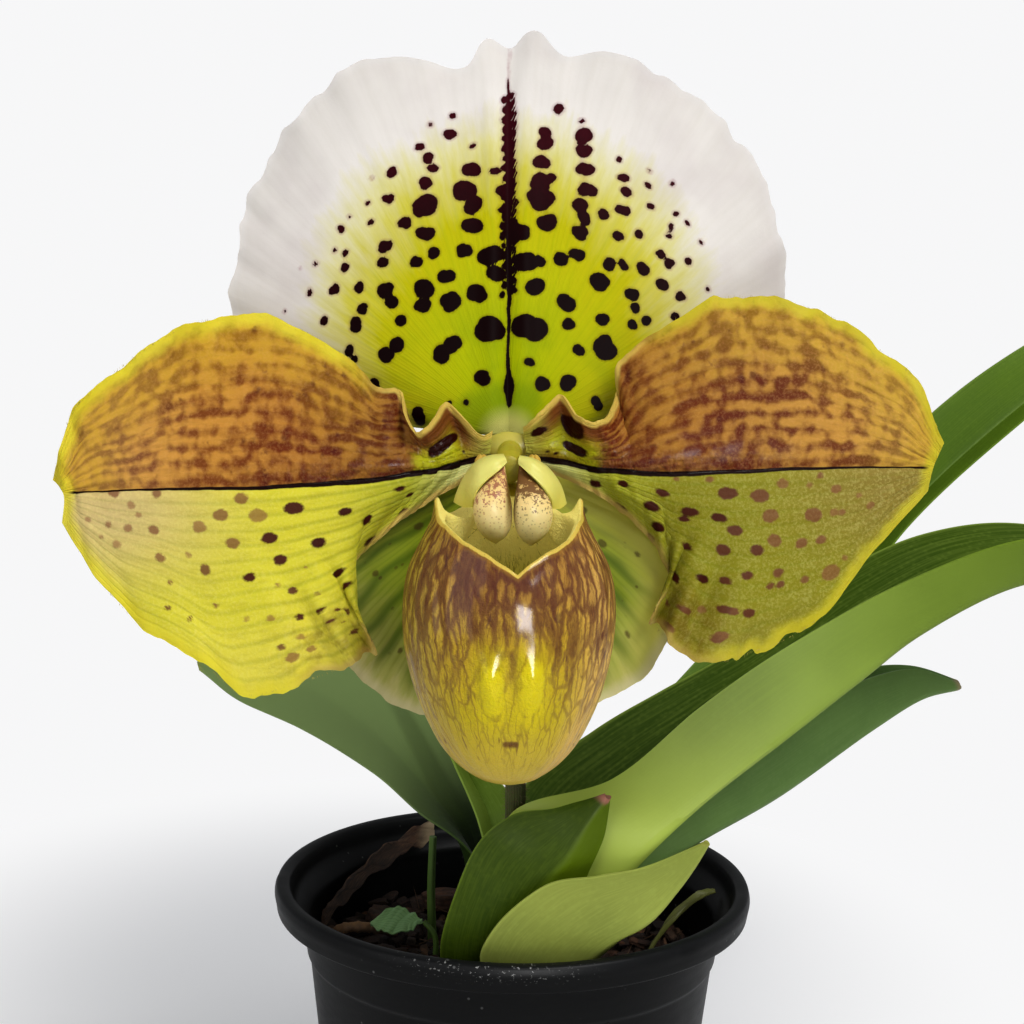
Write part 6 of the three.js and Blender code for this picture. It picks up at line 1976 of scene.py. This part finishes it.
    # painted light: the inside glows with a fifth of its own colour, standing in for light shining through
    # the thin walls
    glow = n.mix((1 - outside) * 0.2, (0, 0, 0), inner)
    wire(Base_Color=tone, Roughness=rough, Normal=n.bump(relief, 0.14), Coat_Weight=outside * 0.45,
        Emission_Color=glow)
    return material


# --- column and its organs

COLUMN = [(0.2, 2.4, -0.1), (0.2, -1.5, -0.5), (0.2, -5, -0.8), (0.1, -9.5, -1.7), (0, -13.4, -3)]
STAMINODE_WIDTHS = [
    (0, 0.2), (0.1, 0.65), (0.2, 1.2), (0.4, 2.25), (0.6, 2.6), (0.8, 2.2), (0.93, 1.3), (1, 0.25),
]
LOBES = {
    "left": [
        (-0.5, -14.2, -2.3), (-1.3, -15, -4.3), (-1.95, -15.6, -6.4), (-2, -15.8, -8.6),
        (-1.85, -15.6, -10.8), (-1.65, -14.9, -12.9)],
    "right": [
        (1.55, -14.2, -2.5), (2.45, -15, -4.5), (3.15, -15.6, -6.7), (3.35, -15.8, -8.9),
        (3.3, -15.6, -11), (3, -14.9, -13.2)],
}
HOODS = {
    "left": (
        [
            (-0.1, -15.2, -2.1), (-1.1, -16, -3.1), (-2.6, -16.2, -4.3), (-3.9, -16.2, -5.6),
            (-4.5, -15.8, -6.8), (-4.6, -14.8, -8)],
        [
            (-0.4, -14.8, -1.6), (-2.1, -15.4, -2), (-3.6, -15.4, -2.9), (-4.8, -14.6, -4.7),
            (-5.4, -13.6, -6.3), (-5.7, -12.8, -8)],
        [
            (-0.6, -12.8, -1.2), (-2.5, -12.8, -1.4), (-4.2, -12.6, -2.2), (-5.7, -12.2, -4.2),
            (-6.5, -11.6, -5.8), (-7, -11.2, -7.4)],
        [
            (-0.8, -10.6, -1.9), (-2.4, -10.4, -2.1), (-3.9, -10.2, -2.9), (-5.3, -10, -4.6),
            (-6.2, -9.8, -6), (-6.8, -9.8, -7.4)]),
    "right": (
        [
            (1.4, -15.2, -2.3), (2.6, -16, -3.4), (3.9, -16.2, -4.6), (5.1, -16.2, -6), (5.7, -15.8, -7),
            (5.8, -14.8, -8.2)],
        [
            (1.5, -14.8, -1.7), (3.2, -15.4, -2.2), (4.6, -15.4, -3.3), (5.9, -14.6, -5.1),
            (6.4, -13.6, -6.5), (6.7, -12.8, -8.2)],
        [
            (1.5, -12.8, -1.4), (3.4, -12.8, -1.8), (5.1, -12.6, -2.8), (6.6, -12.2, -4.7),
            (7.2, -11.6, -6.1), (7.6, -11.2, -7.6)],
        [
            (1.4, -10.6, -2), (3.1, -10.4, -2.3), (4.7, -10.2, -3.2), (6.2, -10, -5), (6.9, -9.8, -6.3),
            (7.4, -9.8, -7.6)]),
}


def lofted(name, lines, columns, rows):
    """A sheet through lines set side by side, each a list of control points."""
    piece, u, v = grid(name, columns, rows)
    i, j = indices(u, v, columns, rows)
    sampled = [rail(line)(np.arange(rows + 1) / rows) for line in lines]
    points = rail(sampled)(np.arange(columns + 1) / columns)
    return piece, points[i, j], u, v


def lobe(name, line, widths, front, back):
    """A drop-shaped body hung along a line in the flower's face, fuller towards the viewer."""
    piece, u, v = grid(name, columns=72, rows=72)
    turn = 2 * pi * u
    t = 0.5 - 0.5 * np.cos(pi * v)
    centre = rail(line)(t)
    half = through(widths)(t) * np.minimum(1, np.sqrt(np.clip(1 - (2 * t - 1) ** 12, 0, 1)))
    out = np.cos(turn)
    deep = np.where(out > 0, front, back)
    x = centre[:, 0] + half * np.sin(turn)
    y = centre[:, 1] - deep * out * half / max(w for _, w in widths)
    return piece, np.stack([x, y, centre[:, 2]], 1), turn, t


def organ_material(name, tone_low, tone_high, speckled=False, roughness=0.4):
    """Waxy organ tissue, speckled towards its top, with painted shade down the groove between the
    staminode's lobes.
    """
    material, n, wire = new_material(name, Subsurface_Weight=0.06, Subsurface_Scale=0.001,
        Specular_IOR_Level=0.15, Coat_Roughness=0.2, Coat_Weight=0.1)
    own = n.place("own")
    x, _, z = n.split(own)
    cloud = n.noise(own, 0.5, 3)
    tone = n.mix(n.step(z, -13, -2), tone_low, tone_high)
    tone = n.mix(n.step(cloud, 0.4, 0.7) * 0.3, tone, n.mix(0.5, tone, (214, 188, 96)))
    if speckled:
        right = n.step(x, 0.5, 1.2)
        stipple = n.noise(own, 1.5, 3, 0.7)
        bits = n.cells(own, 2.1)
        dense = n.step(z, -12.5, -3.5, -0.16, 0.1) + right * n.step(z, -9, -4, 0, 0.14)
        tone = n.mix(right * n.step(z, -7.5, -4) * 0.5, tone, (178, 136, 52))
        marks = n.step(stipple - 0.55 + dense, -0.01, 0.07)
        flecks = n.step(bits, 0.34, 0.2) * n.step(z, -12.5, -6.5, 0.12, 0.9)
        both = n.math("MAXIMUM", marks * 0.8, flecks * 0.72)
        tone = n.mix(both, tone, n.mix(right, (156, 86, 74), (88, 36, 10)))
        # painted shade: darker olive down the groove between the two lobes
        groove_shade = n.step(abs(x - 0.45), 1, 0.3) * n.step(z, -12, -6, 0.35, 0.95)
        tone = n.mix(groove_shade, tone, (106, 84, 16))
    grain = n.group("Cell grain", Vector=own, Size=2.8)
    relief = grain * 0.5 + cloud * 0.8
    wire(Base_Color=tone, Roughness=roughness + cloud * 0.15, Normal=n.bump(relief, 0.07))
    return material


class ORCHID_OT_column(bpy.types.Operator):
    """Shape the column with its two anthers, its stigma and the two-lobed staminode"""
    bl_idname = "orchid.column"
    bl_label = "Column and staminode"

    def execute(self, context):
        green = organ_material("column_tissue", (196, 192, 84), (178, 168, 50))
        saddle = organ_material("hub_tissue", (178, 168, 50), (192, 182, 84))
        path = rail(COLUMN)
        waist = through([(0, 2.1), (0.2, 1.55), (0.5, 1.45), (0.8, 1.9), (1, 2)])

        def girth(turn, t):
            return waist(t) + 0.1 * waves(t * 9 + np.cos(turn), 401)

        piece = round_rod("column_rod", path, girth, columns=56, rows=80)
        place_in_flower(piece, corners(piece) / MM)
        finish_piece(piece, green, "column", "column")
        self.knob("flower_hub", None, (0.1, 1.1, 0.8), (3.7, 0.7, 1.8), saddle, "column", seed=405)

        pollen = organ_material("anther_pollen", (196, 160, 62), (206, 172, 80), roughness=0.5)
        for side, x in (("left", -3.55), ("right", 3.55)):
            self.knob("anther_cap_" + side, "anther_" + side, (x, -7, -1.8), (1, 1.5, 1.1), pollen,
                      "pollen", seed=402)
        self.knob("stigma_disc", "stigma", (0, -8.2, -5.5), (2.4, 2.6, 1.1), green, "column", seed=403)

        cream = organ_material("staminode_lobe", (250, 234, 172), (232, 196, 128), True, roughness=0.36)
        parts = []
        for side, line in LOBES.items():
            piece, points, turn, t = lobe("lobe_" + side, line, STAMINODE_WIDTHS, front=2, back=0.9)
            points[:, 1] += 0.12 * waves(t * 7 + np.sin(turn), 404)
            place_in_flower(piece, points)
            weld(piece)
            parts.append(piece)
        finish_piece(join(parts, "staminode_lobes"), cream, "staminode", "staminode")

        hood = organ_material("staminode_hood", (222, 212, 92), (222, 216, 124), roughness=0.34)
        parts = []
        for side, lines in HOODS.items():
            piece, points, u, v = lofted("hood_" + side, lines, 40, 70)
            points[:, 1] += 0.1 * waves(v * 8 + 2 * u, 406)
            place_in_flower(piece, points)
            thicken(piece, 0.7, 0.35 + 0.65 * smooth(0, 0.3, u))
            parts.append(piece)
        finish_piece(join(parts, "staminode_hoods"), hood, "staminode")
        return {"FINISHED"}

    def knob(self, name, node, centre, radii, material, slot, seed):
        clean_slate()
        bpy.ops.mesh.primitive_uv_sphere_add(segments=48, ring_count=32, radius=1)
        piece = named(name)
        co = corners(piece)
        lumps = 1 + 0.05 * waves(co[:, 0] * 4 + co[:, 1] * 3 + 2 * co[:, 2], seed)
        seam = 1 - (0.14 if node else 0) * np.exp(-(co[:, 0] / 0.16) ** 2) * (co[:, 1] < 0.5)
        points = co * (lumps * seam)[:, None] * radii + centre
        place_in_flower(piece, points)
        weld(piece)
        finish_piece(piece, material, slot, *([node] if node else []))


# --- stage

CAMERA_ASIDE, CAMERA_HEIGHT = -0.00147, 0.19615
CAMERA_PITCH = radians(9.11)
CAMERA_ROLL = radians(-1.21)
LENS, SENSOR_WIDTH = 70.3, 36
SHADOW_CENTRE = (-0.03, 0.15, 0)
EDGE_OF_SHADOW = (0.03, 0.16)
BACKDROP = (0.94, 0.94, 0.945, 1)
CONTRAST = 0.86


class ORCHID_OT_stage(bpy.types.Operator):
    """Set out the pale floor, the soft lights and the camera"""
    bl_idname = "orchid.stage"
    bl_label = "Floor, lights and camera"

    def execute(self, context):
        scene = context.scene
        scene.view_settings.view_transform = "Standard"
        scene.view_settings.gamma = CONTRAST
        self.floor()
        self.world(scene)
        plant, flower = (0, -0.03, 0.13), (0, -0.06, 0.13)
        self.light("key_light", (0.42, -0.62, 0.86), plant, width=0.42, height=0.42, power=7.6)
        self.light("fill_light", (-0.75, -0.7, 0.42), plant, width=0.7, height=0.7, power=2.4)
        window = self.light("window_light", (0.17, -0.95, 0.3), flower, width=0.26, height=0.24, power=6.4)
        window.visible_diffuse = False
        data = bpy.data.cameras.new("camera")
        data.lens = LENS
        data.sensor_width = SENSOR_WIDTH
        data.clip_start = 0.01
        camera = bpy.data.objects.new("camera", data)
        scene.collection.objects.link(camera)
        ahead = Vector((0, cos(CAMERA_PITCH), -sin(CAMERA_PITCH)))
        level = Vector((1, 0, 0))
        top = level.cross(ahead)
        right = level * cos(CAMERA_ROLL) - top * sin(CAMERA_ROLL)
        up = level * sin(CAMERA_ROLL) + top * cos(CAMERA_ROLL)
        stand = Vector((CAMERA_ASIDE, -sizes().camera_distance, CAMERA_HEIGHT))
        camera.matrix_world = Matrix.Translation(stand) @ Matrix((right, up, -ahead)).transposed().to_4x4()
        scene.camera = camera
        return {"FINISHED"}

    def floor(self):
        """A pale floor that fades into the backdrop away from the pot."""
        clean_slate()
        bpy.ops.mesh.primitive_grid_add(x_subdivisions=8, y_subdivisions=8, size=16)
        floor = named("floor")
        material, n, wire = new_material("pale_floor", Roughness=0.8, Specular_IOR_Level=0.1)
        shader = material.node_tree.nodes["Principled BSDF"]
        wire(Base_Color=(250, 250, 251))
        far = n.add("VectorMath", {0: n.object(), 1: SHADOW_CENTRE}, "Value", operation="DISTANCE")
        seen = n.add("LightPath", {}, "Is Camera Ray")
        glow = n.node("Emission", {"Color": BACKDROP, "Strength": 1})
        blend = n.node("MixShader", {0: seen * n.step(far, *EDGE_OF_SHADOW)})
        links = material.node_tree.links
        links.new(shader.outputs[0], blend.inputs[1])
        links.new(glow.outputs[0], blend.inputs[2])
        links.new(blend.outputs[0], material.node_tree.nodes["Material Output"].inputs["Surface"])
        floor.data.materials.append(material)

    def world(self, scene):
        world = bpy.data.worlds.new("studio")
        world.use_nodes = True
        scene.world = world
        n = Nodes(world.node_tree)
        back = world.node_tree.nodes["Background"]
        seen = n.add("LightPath", {}, "Is Camera Ray")
        n.feed(n.mix(seen, (0.33, 0.335, 0.345, 1), BACKDROP), back.inputs["Color"])

    def light(self, name, spot, target, width, height, power):
        data = bpy.data.lights.new(name, "AREA")
        data.shape = "RECTANGLE"
        data.size = width
        data.size_y = height
        data.energy = power
        lamp = bpy.data.objects.new(name, data)
        bpy.context.scene.collection.objects.link(lamp)
        lamp.location = spot
        aim = Vector(target) - Vector(spot)
        lamp.rotation_euler = aim.to_track_quat("-Z", "Y").to_euler()
        return lamp


# --- panel and making

STEPS = (
    ORCHID_OT_stage, ORCHID_OT_pot, ORCHID_OT_medium, ORCHID_OT_chips, ORCHID_OT_litter,
    ORCHID_OT_crown, ORCHID_OT_leaves, ORCHID_OT_stem, ORCHID_OT_dorsal_sepal,
    ORCHID_OT_synsepal, ORCHID_OT_petals, ORCHID_OT_pouch, ORCHID_OT_column,
)


class ORCHID_PT_panel(bpy.types.Panel):
    """The orchid's sizes, colours and pieces"""
    bl_idname = "ORCHID_PT_panel"
    bl_label = "Slipper orchid"
    bl_space_type = "VIEW_3D"
    bl_region_type = "UI"
    bl_category = "Orchid"

    def draw(self, context):
        layout = self.layout
        for settings in (context.scene.orchid_sizes, context.scene.orchid_colours):
            box = layout.box()
            for key in settings.__annotations__:
                box.prop(settings, key)
        for step in STEPS:
            layout.operator(step.bl_idname)


CLASSES = (OrchidSizes, OrchidColours, *STEPS, ORCHID_PT_panel)


def register():
    for each in CLASSES:
        bpy.utils.register_class(each)
    bpy.types.Scene.orchid_sizes = bpy.props.PointerProperty(type=OrchidSizes)
    bpy.types.Scene.orchid_colours = bpy.props.PointerProperty(type=OrchidColours)


def unregister():
    del bpy.types.Scene.orchid_colours
    del bpy.types.Scene.orchid_sizes
    for each in reversed(CLASSES):
        bpy.utils.unregister_class(each)


def main():
    register()
    for step in STEPS:
        family, action = step.bl_idname.split(".")
        getattr(getattr(bpy.ops, family), action)()


if __name__ == "__main__":
    main()
